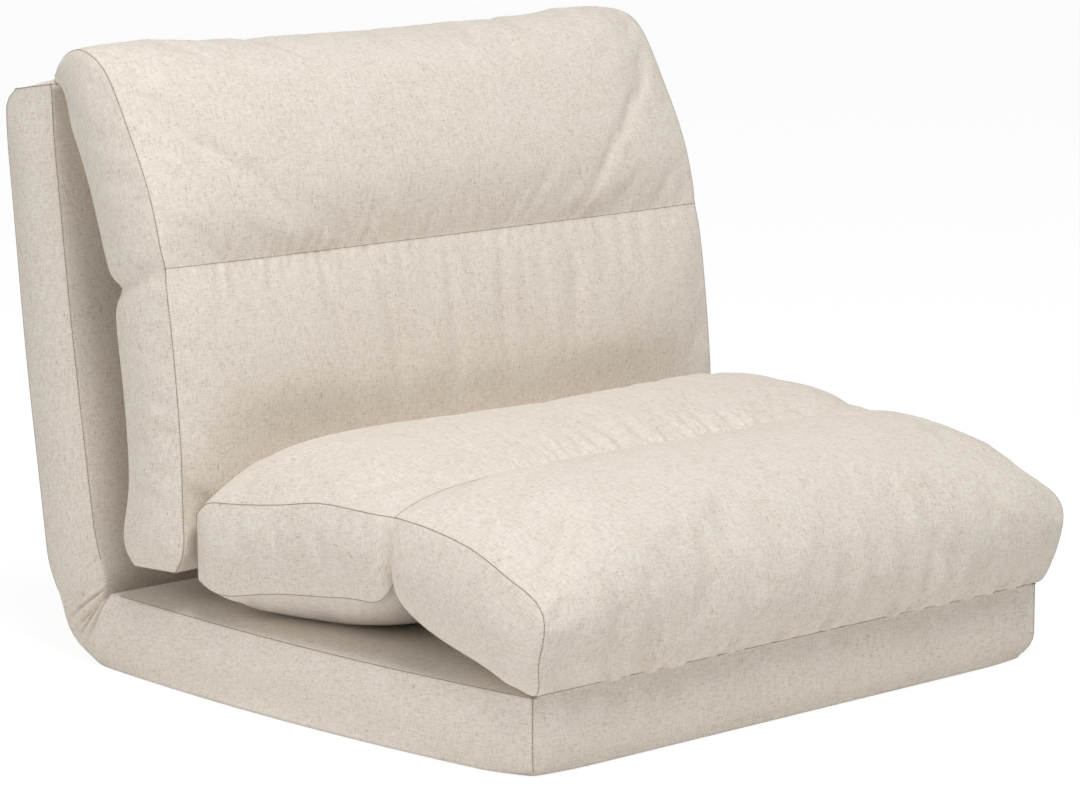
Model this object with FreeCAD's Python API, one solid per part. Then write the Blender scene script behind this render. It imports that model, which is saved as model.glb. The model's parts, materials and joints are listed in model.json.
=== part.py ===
import FreeCAD, Part
import math
import os

from FreeCAD import Vector

# Folding floor chair: a base panel on the floor, a back panel hinged to its rear end, a seat cushion sewn
# to the base's front edge and a back cushion sewn to the back panel's top edge.
# Millimetres. X runs across, -Y is the front, +Z is up. The origin is the middle of the base's underside.

# Overall sizes
base_width = 760.0
base_depth = 670.0
base_height = 83.0
back_length = 552.0
back_thickness = 80.0
back_lean = 8.4
cushion_width = 800.0

# Covers and foam
cover_thickness = 1.5
panel_corner = 14.0
panel_edge = 6.0
end_round = 25.0
hinge_line_gap = 2.5
corner_pull = 45.0
soft_clearance = 0.3

# Steel tubes
tube_radius = 11.0
tube_wall = 1.5
rail_inset = 35.0
cross_tube_start = 112.0
middle_tube_share = 0.55
groove_clearance = 0.2
plug_head = 2.5
plug_depth = 12.0

# Ratchet hinges
cheek_thickness = 2.5
leaf_thickness = 6.0
plate_clearance = 0.3
cheek_cloth_gap = 13.5
cheek_nose_radius = 14.0
cheek_nose_reach = 36.0
tongue_clearance = 0.4
tongue_length = 52.0
rivet_shares = (0.35, 0.8)
neck_half_width = 7.0
stop_pin_reach = 20.0
ratchet_root = 12.6
tooth_height = 2.4
click_positions = 5
pivot_radius = 4.0
pivot_running_clearance = 0.05
rivet_radius = 2.5
rivet_head_radius = 4.0
rivet_head_height = 1.6
rivet_head_sink = 0.4
pivot_head_margin = 3.0
pawl_boss_wall = 2.5
pawl_reach = 29.0
pawl_drop = 5.0
pawl_clearance = 0.4
spring_thickness = 0.8
hinge_pocket_clearance = 3.0
hinge_pocket_side_clearance = 1.6
crease_fold_depth = 8.0
crease_cloth_gap = 0.6
underside_clearance = 2.0

# Seat cushion
seat_front_run = 190.0
seat_ridge_rise = 150.0
seat_front_bulge = 45.0
seat_crown = 47.0
seat_back_gap = 3.4
seat_belly_lift = 4.0
seat_hinge_forward = 1.0
cushion_hinge_lift = 1.5

# Back cushion
back_upper_run = 192.0
back_upper_drop = 183.0
back_crown_top = 45.0
back_cushion_lift = 33.8
back_front_crown = 47.0
back_rear_crown = 106.0

# Cushion ends and fold lines
crown_shoulder = 50.0
crown_full = 150.0
shoulder_share = 0.72
fold_gap = 1.4
tape_radius = 0.9
tape_margin = 10.0
piping_radius = 1.1
piping_clearance = 0.5
piping_flange = 5.0

# Zips
zip_tape_width = 26.0
zip_tape_thickness = 1.0
zip_teeth_width = 5.0
zip_teeth_height = 1.6
zip_stand_off = 1.0
panel_zip_rise = 90.0
back_zip_drop = 125.0
seat_zip_drop = 60.0
slider_length = 11.0
slider_width = 8.0
slider_height = 2.4
pull_length = 24.0
pull_thickness = 1.0
pull_width = 6.0

# Places worked out from the sizes above
half_width = base_width / 2
half_cushion = cushion_width / 2
inner_half = back_thickness / 2
hinge_height = base_height - inner_half
fold_angle = 90.0 + back_lean
half_fold = math.radians(fold_angle / 2)
recline_travel = 180.0 - fold_angle
crease_reach = inner_half / math.tan(half_fold)
hinge_y = base_depth / 2 + crease_reach
base_length = base_depth + crease_reach
back_panel_length = back_length + crease_reach
rail_x = half_width - rail_inset
tube_bore = tube_radius - tube_wall
hinge_edge = leaf_thickness / 2 + plate_clearance + cheek_thickness
cheek_radius = hinge_height - cover_thickness - cheek_cloth_gap
tube_start = cheek_nose_reach + cheek_nose_radius
tongue_half_height = math.sqrt((tube_bore - tongue_clearance) ** 2 - hinge_edge**2)
hinge_pocket = cheek_radius + hinge_pocket_clearance
hinge_pocket_half_width = hinge_edge + rivet_head_height + hinge_pocket_side_clearance

os.makedirs("parts", exist_ok=True)
pieces = {}


def keep(name, shape):
    """Store one piece, or a group of equal loose pieces, under its node name."""
    pieces[name] = shape


def prism(outline, x_from, x_to):
    """Extrude a closed outline of (y, z) points along X."""
    points = [Vector(x_from, y, z) for y, z in outline]
    face = Part.Face(Part.makePolygon(points + points[:1]))
    return face.extrude(Vector(x_to - x_from, 0, 0))


def rod(radius, start, end):
    """A round bar between two points."""
    start, end = Vector(*start), Vector(*end)
    return Part.makeCylinder(radius, (end - start).Length, start, end - start)


def box(low, high):
    """A box between two opposite corners."""
    size = [h - l for l, h in zip(low, high)]
    return Part.makeBox(*size, Vector(*low))


def place_base(shape):
    """Lay a panel piece, drawn with its length along +Y from the hinge, forwards along the floor."""
    moved = shape.copy()
    moved.rotate(Vector(0, 0, 0), Vector(0, 0, 1), 180)
    moved.translate(Vector(0, hinge_y, hinge_height))
    return moved


def place_back(shape):
    """Stand a panel piece up from the hinge, leaning backwards."""
    moved = shape.copy()
    moved.rotate(Vector(0, 0, 0), Vector(1, 0, 0), 90 - back_lean)
    moved.translate(Vector(0, hinge_y, hinge_height))
    return moved


# Panels are drawn with the hinge axis at the origin, their length along +Y and the sitting side up.


def panel_outline(length, inner, outer, inset):
    """Side outline of a panel, mitred above the hinge axis and rounded below it."""
    gap = hinge_line_gap / math.sin(half_fold)
    top = inner - inset
    low = -(outer - inset)
    bend = end_round - inset
    turn = [math.radians(a) for a in (180, 202.5, 225, 247.5, 270)]
    nose = [(gap + bend + bend * math.cos(a), low + bend + bend * math.sin(a)) for a in turn]
    mitre = [(gap + top / math.tan(half_fold), top), (gap, 0)]
    return [*mitre, *nose, (length - inset, low), (length - inset, top)]


def panel_solid(length, inner, outer, inset):
    """A panel's full block with softened edges at its far end and along its sides."""
    reach = half_width - inset
    block = prism(panel_outline(length, inner, outer, inset), -reach, reach)
    far = length - inset
    upright = []
    for edge in block.Edges:
        ends = [v.Point for v in edge.Vertexes]
        on_far = all(abs(p.y - far) < 0.01 for p in ends)
        if on_far and abs(ends[0].z - ends[1].z) > 1:
            upright.append(edge)
    block = block.makeFillet(panel_corner - inset, upright)
    top_edges = []
    for edge in block.Edges:
        ends = [v.Point for v in edge.Vertexes]
        flat = abs(ends[0].z - ends[-1].z) < 0.01
        level = abs(ends[0].z - (inner - inset)) < 0.01 or abs(ends[0].z + (outer - inset)) < 0.01
        starts_at_hinge = max(p.y for p in ends) < end_round + crease_reach
        if flat and level and not starts_at_hinge:
            top_edges.append(edge)
    return block.makeFillet(panel_edge - inset, top_edges)


def hinge_pockets():
    """Room in the foam around both hinge heads."""
    pockets = []
    for side in (-1, 1):
        x = side * rail_x
        low = (x - hinge_pocket_half_width, -hinge_pocket, -hinge_pocket)
        high = (x + hinge_pocket_half_width, tube_start + 1, hinge_pocket)
        pockets.append(box(low, high))
    return pockets


def tube_lines(length):
    """Name, start and end of each tube in a panel."""
    far = length - rail_inset
    middle = cross_tube_start + (far - cross_tube_start) * middle_tube_share
    return {
        "left_tube": ((-rail_x, tube_start, 0), (-rail_x, far, 0)),
        "right_tube": ((rail_x, tube_start, 0), (rail_x, far, 0)),
        "end_tube": ((-rail_x - tube_radius, far, 0), (rail_x + tube_radius, far, 0)),
        "hinge_end_tube": ((-rail_x, cross_tube_start, 0), (rail_x, cross_tube_start, 0)),
        "middle_tube": ((-rail_x, middle, 0), (rail_x, middle, 0)),
    }


def rivet_rows(from_y):
    """Places of the two rivets that hold a tongue in its tube."""
    return [from_y + share * tongue_length for share in rivet_shares]


def tongue_rivets():
    """Four rivets through the tube ends, two at each hinge."""
    rivets = []
    for side in (-1, 1):
        for y in rivet_rows(tube_start):
            x = side * rail_x
            shank = rod(rivet_radius, (x - tube_radius, y, 0), (x + tube_radius, y, 0))
            for end in (-1, 1):
                seat = x + end * (tube_radius - rivet_head_sink)
                head = rod(rivet_head_radius, (seat, y, 0), (seat + end * rivet_head_height, y, 0))
                shank = shank.fuse(head)
            rivets.append(shank)
    return rivets


def make_frame(length):
    """The welded tubes of one panel, each coped to the tube it meets."""
    lines = tube_lines(length)
    solid = {name: rod(tube_radius, *line) for name, line in lines.items()}
    tubes = {}
    rivets = tongue_rivets()
    for name, (start, end) in lines.items():
        tube = solid[name].cut(rod(tube_bore, start, end))
        if name in ("left_tube", "right_tube"):
            tube = tube.cut(solid["end_tube"])
            tube = tube.cut(rivets)
        elif name != "end_tube":
            tube = tube.cut([solid["left_tube"], solid["right_tube"]])
        tubes[name] = tube
    return tubes


def make_plugs(length):
    """Plastic plugs in the open ends of the end tube."""
    far = length - rail_inset
    plugs = []
    for side in (-1, 1):
        face = side * (rail_x + tube_radius)
        head = rod(tube_radius, (face, far, 0), (face + side * plug_head, far, 0))
        stem = rod(tube_bore, (face, far, 0), (face - side * plug_depth, far, 0))
        plugs.append(head.fuse(stem).removeSplitter())
    return plugs


def make_foam(length, inner, outer):
    """Foam slabs above and below the tubes, grooved for the frame and hollow around the hinges."""
    block = panel_solid(length, inner, outer, cover_thickness)
    voids = hinge_pockets()
    far = length - rail_inset
    for start, end in tube_lines(length).values():
        voids.append(rod(tube_radius + groove_clearance, start, end))
    for side in (-1, 1):
        face = side * (rail_x + tube_radius)
        head_end = face + side * (plug_head + groove_clearance)
        voids.append(rod(tube_radius + groove_clearance, (face, far, 0), (head_end, far, 0)))
        for y in rivet_rows(tube_start):
            reach = tube_radius + rivet_head_height
            x = side * rail_x
            voids.append(rod(rivet_head_radius + groove_clearance, (x - reach, y, 0), (x + reach, y, 0)))
    wide = base_width
    upper = block.cut(box((-wide, -wide, -wide), (wide, 2 * length, 0)))
    lower = block.cut(box((-wide, -wide, 0), (wide, 2 * length, wide)))
    for void in voids:
        upper = upper.cut(void)
        lower = lower.cut(void)
    return upper, lower


def make_cover(length, inner, outer, open_underside):
    """Sewn cover of a panel, open at the hinge end and, on the base, underneath."""
    skin = panel_solid(length, inner, outer, 0)
    hollow = panel_solid(length, inner, outer, cover_thickness)
    reach = half_width - cover_thickness
    top = inner - cover_thickness
    low = -(outer - cover_thickness)
    mouth_end = crease_reach + end_round
    mouth = [(-10, -outer), (mouth_end, -outer)] if open_underside else [(-10, low), (mouth_end, low)]
    mouth = prism([*mouth, (mouth_end, top), (-10, top)], -reach, reach)
    cover = skin.cut([hollow, mouth])
    if open_underside:
        flat = length - cover_thickness - panel_corner
        side = reach - panel_corner
        opening = box((-side, -10, -outer - 1), (side, flat, low + 1))
        wide_mouth = box((-reach, -10, -outer - 1), (reach, mouth_end, low + 1))
        cover = cover.cut([opening, wide_mouth])
    return cover


def make_underside(length, outer):
    """Flat cloth that closes the base cover underneath."""
    flat = length - cover_thickness - panel_corner
    side = half_width - cover_thickness - panel_corner
    start = end_round + hinge_line_gap + underside_clearance
    low = -outer
    return box((-side, start, low), (side, flat, low + cover_thickness))


# Ratchet hinges, drawn for the hinge at x = 0 in the base panel's frame.


def plate(outline, x_from, thickness):
    """A flat plate across X, cut to an outline of (y, z) points."""
    return prism(outline, x_from, x_from + thickness)


def circle_points(radius, start, end, steps, centre=(0, 0)):
    """Points on an arc, angles in degrees from +Y towards +Z."""
    angles = [math.radians(start + (end - start) * i / steps) for i in range(steps + 1)]
    return [(centre[0] + radius * math.cos(a), centre[1] + radius * math.sin(a)) for a in angles]


def make_cheek(x_from):
    """A cheek plate: round head, nose and a tongue that enters the base tube."""
    head = rod(cheek_radius, (x_from, 0, 0), (x_from + cheek_thickness, 0, 0))
    lean = math.degrees(math.acos((cheek_radius - cheek_nose_radius) / cheek_nose_reach))
    upper = circle_points(cheek_radius, lean, lean, 1)[:1]
    nose = circle_points(cheek_nose_radius, lean, -lean, 8, (cheek_nose_reach, 0))
    lower = circle_points(cheek_radius, -lean, -lean, 1)[:1]
    web = plate([*upper, *nose, *lower], x_from, cheek_thickness)
    tongue = box(
        (x_from, cheek_nose_reach, -tongue_half_height),
        (x_from + cheek_thickness, tube_start + tongue_length, tongue_half_height),
    )
    return head.fuse([web, tongue]).removeSplitter()


def stop_pin_place():
    """Middle of the pin that the leaf's neck rests on when the back is upright."""
    along = math.radians(fold_angle)
    out = stop_pin_reach
    off = neck_half_width + rivet_radius + plate_clearance
    y = out * math.cos(along) + off * math.sin(along)
    z = out * math.sin(along) - off * math.cos(along)
    return y, z


def make_ratchet():
    """Toothed leaf, drawn in the back panel's frame: wheel, neck and a tongue that enters the tube."""
    half = leaf_thickness / 2
    wheel = rod(ratchet_root, (-half, 0, 0), (half, 0, 0))
    pitch = recline_travel / (click_positions - 1)
    first = 360.0 - fold_angle
    for k in range(click_positions):
        angle = first + k * pitch
        tip = circle_points(ratchet_root + tooth_height, angle, angle, 1)[:1]
        foot = circle_points(ratchet_root - 1, angle - 2, angle - 2, 1)[:1]
        ramp = circle_points(ratchet_root - 1, angle + 0.8 * pitch, angle + 0.8 * pitch, 1)[:1]
        tooth = plate([*foot, *ramp, *tip], -half, leaf_thickness)
        wheel = wheel.fuse(tooth)
    neck = box((-half, 0, -neck_half_width), (half, tube_start + tongue_length, neck_half_width))
    leaf = wheel.fuse(neck)
    return leaf.removeSplitter()


def make_pawl():
    """Pawl between the cheeks, its nose lifted just clear of the teeth."""
    half = leaf_thickness / 2
    tip = ratchet_root + tooth_height + pawl_clearance
    pin = (pawl_reach, -pawl_drop)
    boss = rod(rivet_radius + pawl_boss_wall, (-half, *pin), (half, *pin))
    arm = [(tip, 0.5), (pin[0] - 1, pin[1] - 4.6), (pin[0] + 2, pin[1] + 4.4), (tip + 3, 3.5)]
    return boss.fuse(plate(arm, -half, leaf_thickness)).removeSplitter()


def make_pawl_spring():
    """Flat spring that presses the pawl towards the teeth."""
    start = (tube_start - 3, 5.5)
    end = (pawl_reach - 4, 3.2)
    thick = spring_thickness
    outline = [start, end, (end[0], end[1] + thick), (start[0], start[1] + thick)]
    return plate(outline, -2.0, 4.0)


def make_hinge(side_name, side):
    """All pieces of one ratchet hinge."""
    x = side * rail_x
    inner_face = leaf_thickness / 2 + plate_clearance
    pawl_at = (pawl_reach, -pawl_drop)
    stop_at = stop_pin_place()
    cheeks = {
        "outer": make_cheek(inner_face if side > 0 else -inner_face - cheek_thickness),
        "inner": make_cheek(-inner_face - cheek_thickness if side > 0 else inner_face),
    }
    edge = hinge_edge

    def through(radius, place, reach):
        return rod(radius, (-reach, *place), (reach, *place))

    pivot = through(pivot_radius, (0, 0), edge)
    for end in (-1, 1):
        start = (end * edge, 0, 0)
        head = rod(pivot_radius + pivot_head_margin, start, (start[0] + end * rivet_head_height, 0, 0))
        pivot = pivot.fuse(head)
    pawl_pin = through(rivet_radius, pawl_at, edge)
    stop_pin = through(rivet_radius, stop_at, edge)
    drilled = []
    for place, radius in (((0, 0), pivot_radius), (pawl_at, rivet_radius), (stop_at, rivet_radius)):
        drilled.append(through(radius, place, edge + 1))
    for y in rivet_rows(tube_start):
        drilled.append(through(rivet_radius, (y, 0), edge + 1))
    for name, cheek in cheeks.items():
        piece = cheek.cut(drilled)
        piece.translate(Vector(-x, 0, 0))
        keep(f"{side_name}_hinge_cheek_{name}", place_base(piece))
    pawl_bore = through(rivet_radius + pivot_running_clearance, pawl_at, edge)
    on_base = {
        "hinge_pivot_rivet": pivot,
        "hinge_pawl": make_pawl().cut(pawl_bore),
        "hinge_pawl_pin": pawl_pin,
        "hinge_stop_pin": stop_pin,
        "hinge_pawl_spring": make_pawl_spring(),
    }
    for name, piece in on_base.items():
        piece.translate(Vector(-x, 0, 0))
        keep(f"{side_name}_{name}", place_base(piece))
    leaf_holes = [through(pivot_radius + pivot_running_clearance, (0, 0), edge)]
    for y in rivet_rows(tube_start):
        leaf_holes.append(through(rivet_radius, (y, 0), edge))
    leaf = make_ratchet().cut(leaf_holes)
    leaf.translate(Vector(x, 0, 0))
    keep(f"{side_name}_hinge_ratchet_leaf", place_back(leaf))


# Cloth that bridges the corner between the two panels


def corner_point(along, across):
    """A point on the back panel's side outline, in the chair's frame."""
    turn = math.radians(90 - back_lean)
    y = hinge_y + along * math.cos(turn) - across * math.sin(turn)
    z = hinge_height + along * math.sin(turn) + across * math.cos(turn)
    return y, z


def make_corner_cloth():
    """Outer cloth round the lower rear corner, with a gusset at each side."""
    t = cover_thickness
    reach = end_round + hinge_line_gap + 1
    pull = corner_pull

    def curve(x, inset):
        start = Vector(x, hinge_y - reach, inset)
        end = Vector(x, *corner_point(reach, -inner_half + inset))
        near_end = Vector(x, *corner_point(reach - pull, -inner_half + inset))
        bend = Part.BezierCurve()
        bend.setPoles([start, start + Vector(0, pull, 0), near_end, end])
        return bend.toShape(), start, end

    def line(a, b):
        return Part.LineSegment(a, b).toShape()

    outside, start, end = curve(-half_width, 0.0)
    inside, inner_start, inner_end = curve(-half_width, t)
    loop = Part.Wire([outside, line(end, inner_end), inside, line(inner_start, start)])
    cloth = Part.Face(loop).extrude(Vector(base_width, 0, 0))
    for x in (-half_width, half_width - t):
        rim, start, end = curve(x, 0.0)
        hub = Vector(x, hinge_y, hinge_height)
        gusset = Part.Face(Part.Wire([rim, line(end, hub), line(hub, start)]))
        cloth = cloth.fuse(gusset.extrude(Vector(t, 0, 0)))
    return cloth.cut([place_base(base_block), place_back(back_block)]).removeSplitter()


def make_crease_cloth():
    """Inner cloth folded down into the crease between base and back."""
    t = cover_thickness / 3
    depth = crease_fold_depth
    reach = half_width - cover_thickness - 1
    cut = math.sin(half_fold)
    near = crease_cloth_gap
    top = inner_half - cover_thickness

    def on_mitre(height, offset):
        return hinge_y - height / math.tan(half_fold) + offset / cut, hinge_height + height

    outline = [
        on_mitre(top, -near - t),
        on_mitre(depth, -near - t),
        on_mitre(depth - 3, 0),
        on_mitre(depth, near + t),
        on_mitre(top, near + t),
        on_mitre(top, near),
        on_mitre(depth, near),
        on_mitre(depth - 3 + t, 0),
        on_mitre(depth, -near),
        on_mitre(top, -near),
    ]
    cloth = prism(outline, -reach, reach)
    for side in (-1, 1):
        x = side * rail_x
        low = (x - hinge_pocket_half_width, hinge_y - hinge_pocket, hinge_height - hinge_pocket)
        high = (x + hinge_pocket_half_width, hinge_y + hinge_pocket, hinge_height + hinge_pocket)
        cloth = cloth.cut(box(low, high))
    return cloth


# Cushions. Each channel is lofted along X through side outlines whose crown grows inwards from the ends.


def blend_points(side, middle, share):
    """Points between the outline at the cushion's end and the one at its middle."""
    return [(a + (c - a) * share, b + (d - b) * share) for (a, b), (c, d) in zip(side, middle)]


def outline_wire(x, origin, curves):
    """Closed wire in the plane at x, made of straight lines and smooth curves."""
    edges = []
    for points in curves:
        spots = [Vector(x, origin[0] + y, origin[1] + z) for y, z in points]
        if len(spots) == 2:
            edges.append(Part.LineSegment(*spots).toShape())
        else:
            curve = Part.BSplineCurve()
            curve.interpolate(spots)
            edges.append(curve.toShape())
    return Part.Wire(edges)


def loft_channel(origin, curves):
    """Solid cushion channel. Each curve is a pair of point lists, for the end and for the middle."""
    stations = []
    for x, share in (
        (-half_cushion, 0.0),
        (-half_cushion + crown_shoulder, shoulder_share),
        (-half_cushion + crown_full, 1.0),
    ):
        stations.append((x, share))
    stations += [(-x, share) for x, share in reversed(stations)]
    wires = []
    for x, share in stations:
        shaped = [blend_points(side, middle, share) for side, middle in curves]
        wires.append(outline_wire(x, origin, shaped))
    return Part.makeLoft(wires, True, True)


def shrink(solid, amount):
    """The same form smaller by about the given amount on every side."""
    bounds = solid.BoundBox
    centre = bounds.Center
    factors = [(size - 2 * amount) / size for size in (bounds.XLength, bounds.YLength, bounds.ZLength)]
    matrix = FreeCAD.Matrix()
    matrix.move(-centre)
    matrix.scale(*factors)
    matrix.move(centre)
    return solid.transformGeometry(matrix)


def make_channel(name, origin, curves):
    """Cover and foam fill of one cushion channel."""
    outer = loft_channel(origin, curves)
    cover = outer.cut(shrink(outer, cover_thickness))
    fill = shrink(outer, cover_thickness + groove_clearance)
    keep(f"{name}_cover", cover)
    keep(f"{name}_foam", fill)


def stretched(points, along, up):
    """Outline points drawn at a cushion's usual size, stretched to its real length and height."""
    return [(y * along, z * up) for y, z in points]


back_corner = corner_point(back_panel_length, inner_half)
lean_turn = math.radians(90 - back_lean)
lift = cushion_hinge_lift
back_hinge = (
    back_corner[0] - lift * math.sin(lean_turn) + lift * math.cos(lean_turn),
    back_corner[1] + lift * math.cos(lean_turn) + lift * math.sin(lean_turn),
)
back_fold = (back_hinge[0] - back_upper_run, back_hinge[1] - back_upper_drop)
back_lower_length = back_fold[1] - base_height - back_cushion_lift
seat_hinge = (-base_depth / 2 - seat_hinge_forward, base_height + cushion_hinge_lift)
seat_fold = (seat_hinge[0] + seat_front_run, seat_hinge[1] + seat_ridge_rise)
seat_rear_length = back_fold[0] - back_front_crown - seat_back_gap - seat_fold[0]
seat_belly = seat_ridge_rise - seat_belly_lift
seam_start = piping_radius + piping_clearance

# The sizes that the side outlines are drawn at
drawn_front_run = 190.0
drawn_ridge_rise = 150.0
drawn_rear_length = 318.0
drawn_upper_run = 192.0
drawn_upper_drop = 183.0
drawn_lower_length = 331.0


def seat_front_curves():
    """Front channel, from the piping on the base up over the front roll to the channel seam."""
    run, rise, bulge = seat_front_run, seat_ridge_rise, seat_front_bulge
    along, up = run / drawn_front_run, rise / drawn_ridge_rise
    cusp = (run + 15.0, rise - 60.0)
    wall_top = (run - fold_gap - 0.6, rise - 1.0)
    face_side = [(-0.6, seam_start), (-0.37 * bulge, 56.0 * up), (-0.5 * bulge, 79.0 * up)]
    face_middle = [(-0.9, seam_start), (-0.66 * bulge, 56.0 * up), (-bulge, 84.0 * up)]
    roll_side = [(-16.5, 88.0), (22.5, 109.5), (57.5, 123.5), (86.0, 133.5), (125.5, 143.5)]
    roll_middle = [(-34.0, 112.0), (0.0, 136.0), (38.0, 152.0), (80.0, 162.0), (125.0, 164.5)]
    top_side = [face_side[-1], *stretched(roll_side, along, up), (run - 30.0, rise - 1.5), wall_top]
    top_middle = [face_middle[-1], *stretched(roll_middle, along, up), (run - 25.0, rise + 9.0), wall_top]
    floor_side = [(182.0, 62.0), (156.5, 48.0), (130.5, 38.0), (96.5, 27.0), (57.5, 16.0)]
    floor_middle = [(184.0, 58.0), (158.0, 40.0), (130.5, 29.0), (96.5, 19.0), (57.5, 10.0)]
    under_side = [cusp, *stretched(floor_side, along, up), (2.0, seam_start - 1.0)]
    under_middle = [cusp, *stretched(floor_middle, along, up), (2.0, seam_start - 1.0)]
    return [
        (face_side, face_middle),
        (top_side, top_middle),
        ([wall_top, cusp], [wall_top, cusp]),
        (under_side, under_middle),
        ([under_side[-1], face_side[0]], [under_middle[-1], face_middle[0]]),
    ]


def seat_rear_curves():
    """Rear channel, from the channel seam back over the base to its boxed rear end."""
    far, crown, belly = seat_rear_length, seat_crown, seat_belly
    along, up = far / drawn_rear_length, seat_ridge_rise / drawn_ridge_rise
    wall_top = (fold_gap + 0.6, -1.0)
    cusp = (15.0 + fold_gap * 1.4, -61.5)
    flat_side = [(25.0, -2.5), (65.0, -2.5), (131.0, -4.0), (178.0, -14.0), (222.0, -19.5)]
    rise_middle = [(20.0, 12.0), (52.0, 28.0)]
    ridge_middle = [(110.0, 0.88 * crown), (175.0, crown), (235.0, 0.94 * crown)]
    top_side = [wall_top, *stretched(flat_side, along, 1.0), (far - 21.0, -26.5), (far - 3.0, -42.0)]
    top_middle = [wall_top, *stretched(rise_middle + ridge_middle, along, 1.0)]
    top_middle += [(far - 30.0, 0.6 * crown), (far - 3.0, -8.0)]
    end_side = [top_side[-1], (far - 1.0, -70.0 * up), (far - 3.5, -115.0 * up)]
    end_middle = [top_middle[-1], (far, -60.0 * up), (far - 16.0, -122.0 * up)]
    floor_side = [(263.0, -118.5), (209.5, -113.5), (132.5, -102.0), (80.0, -96.0), (40.0, -86.0)]
    floor_middle = [(132.5, -128.0), (80.0, -112.0), (40.0, -92.0)]
    under_side = [end_side[-1], *stretched(floor_side, along, up), cusp]
    under_middle = [end_middle[-1], (far - 60.0, -belly), (200.0 * along, -belly + 3.0)]
    under_middle += [*stretched(floor_middle, along, up), cusp]
    return [
        (top_side, top_middle),
        (end_side, end_middle),
        (under_side, under_middle),
        ([cusp, wall_top], [cusp, wall_top]),
    ]


def back_upper_curves():
    """Upper channel, from the piping on the back panel forwards and down to the channel seam."""
    run, drop, crown = back_upper_run, back_upper_drop, back_crown_top
    along, up = run / drawn_upper_run, drop / drawn_upper_drop
    pinch = (-run + 79.0, -drop - 23.0)
    wall_front = (-run + fold_gap, -drop + fold_gap)
    top_rear = (-0.8, -seam_start)
    low_rear = (pinch[0], pinch[1] + fold_gap)
    hang_side = [(-17.0, -11.0), (-31.0, -28.0), (-45.0, -50.0), (-60.0, -90.0), (-85.0, -148.0)]
    hang_side.append((-103.0, -190.0))
    hang_middle = [(-10.0, -20.0), (-19.0, -45.0), (-29.0, -75.0), (-45.0, -120.0), (-68.0, -165.0)]
    hang_middle.append((-93.0, -195.0))
    rear_side = [top_rear, *stretched(hang_side, along, up), low_rear]
    rear_middle = [top_rear, *stretched(hang_middle, along, up), low_rear]
    face_side = [(-178.0, -132.0), (-156.0, -77.0), (-126.0, -20.0), (-110.0, 8.0), (-93.0, 25.0)]
    face_middle = [(-202.0, -150.0), (-191.0, -105.0), (-168.0, -50.0), (-142.0, 2.0)]
    front_side = [wall_front, *stretched(face_side, along, up)]
    front_middle = [wall_front, *stretched(face_middle, along, up), (-117.0 * along, 0.82 * crown)]
    crest_side = [(-75.0, 30.5), (-41.0, 24.0), (-13.0, 8.5)]
    crest_middle = [(-90.0, crown), (-52.0, 0.74 * crown), (-17.0, 11.0)]
    top_side = [front_side[-1], *stretched(crest_side, along, up), (-1.6, 0.2)]
    top_middle = [front_middle[-1], *stretched(crest_middle, along, 1.0), (-1.6, 0.2)]
    return [
        (rear_side, rear_middle),
        ([rear_side[-1], wall_front], [rear_middle[-1], wall_front]),
        (front_side, front_middle),
        (top_side, top_middle),
        ([top_side[-1], rear_side[0]], [top_middle[-1], rear_middle[0]]),
    ]


def back_lower_curves():
    """Lower channel, hanging from the channel seam down behind the seat."""
    length, front, rear = back_lower_length, back_front_crown, back_rear_crown
    up = length / drawn_lower_length
    wall_front = (fold_gap * 0.4, -fold_gap)
    pinch = (79.0, -23.0 - fold_gap)
    face_side = [(-9.0, -60.0), (-18.0, -100.0), (-23.0, -140.0), (-23.0, -190.0), (-26.0, -263.0)]
    face_side.append((-24.0, -308.0))
    face_middle = [(-30.0, -55.0), (-0.96 * front, -100.0), (-front, -145.0), (-0.88 * front, -195.0)]
    face_middle += [(-0.84 * front, -263.0), (-32.0, -312.0)]
    low_side = [(-10.0, -322.0), (20.0, -327.0), (56.0, -321.0), (74.0, -311.0)]
    low_middle = [(-12.0, -326.0), (20.0, -331.0), (60.0, -327.0), (84.0, -312.0)]
    hang_side = [(70.0, -270.0), (66.0, -205.0), (74.0, -150.0), (79.0, -105.0), (86.0, -60.0)]
    hang_middle = [(0.93 * rear, -268.0), (rear, -205.0), (rear, -150.0), (0.97 * rear, -105.0)]
    hang_middle.append((0.9 * rear, -55.0))
    front_side = [wall_front, *stretched(face_side, 1.0, up)]
    front_middle = [wall_front, *stretched(face_middle, 1.0, up)]
    under_side = [front_side[-1], *stretched(low_side, 1.0, up)]
    under_middle = [front_middle[-1], *stretched(low_middle, 1.0, up)]
    rear_side = [under_side[-1], *stretched(hang_side, 1.0, up), pinch]
    rear_middle = [under_middle[-1], *stretched(hang_middle, 1.0, up), pinch]
    return [
        (front_side, front_middle),
        (under_side, under_middle),
        (rear_side, rear_middle),
        ([pinch, wall_front], [pinch, wall_front]),
    ]


def make_piping(place, turn_axis, turn, panel_block):
    """Piping round a seam line, with the flange that is sewn to the corner at a panel's far end."""
    reach = half_width - panel_corner
    cord = rod(piping_radius, (-reach, 0, 0), (reach, 0, 0))
    flange = box((-reach, -piping_flange, -piping_flange), (reach, 0, 0))
    strip = cord.fuse(flange)
    strip.rotate(Vector(0, 0, 0), Vector(*turn_axis), turn)
    strip.translate(Vector(0, *place))
    return strip.cut(panel_block).removeSplitter()


# Zips: two tapes with a row of teeth between them, and a slider with its pull


def zip_piece(length):
    """Zip lying in the XY plane, teeth upwards."""
    tape = box((-length / 2, -zip_tape_width / 2, 0), (length / 2, zip_tape_width / 2, zip_tape_thickness))
    top = zip_tape_thickness + zip_teeth_height
    half = zip_teeth_width / 2
    teeth = box((-length / 2, -half, zip_tape_thickness), (length / 2, half, top))
    return tape.fuse(teeth).removeSplitter()


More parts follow.
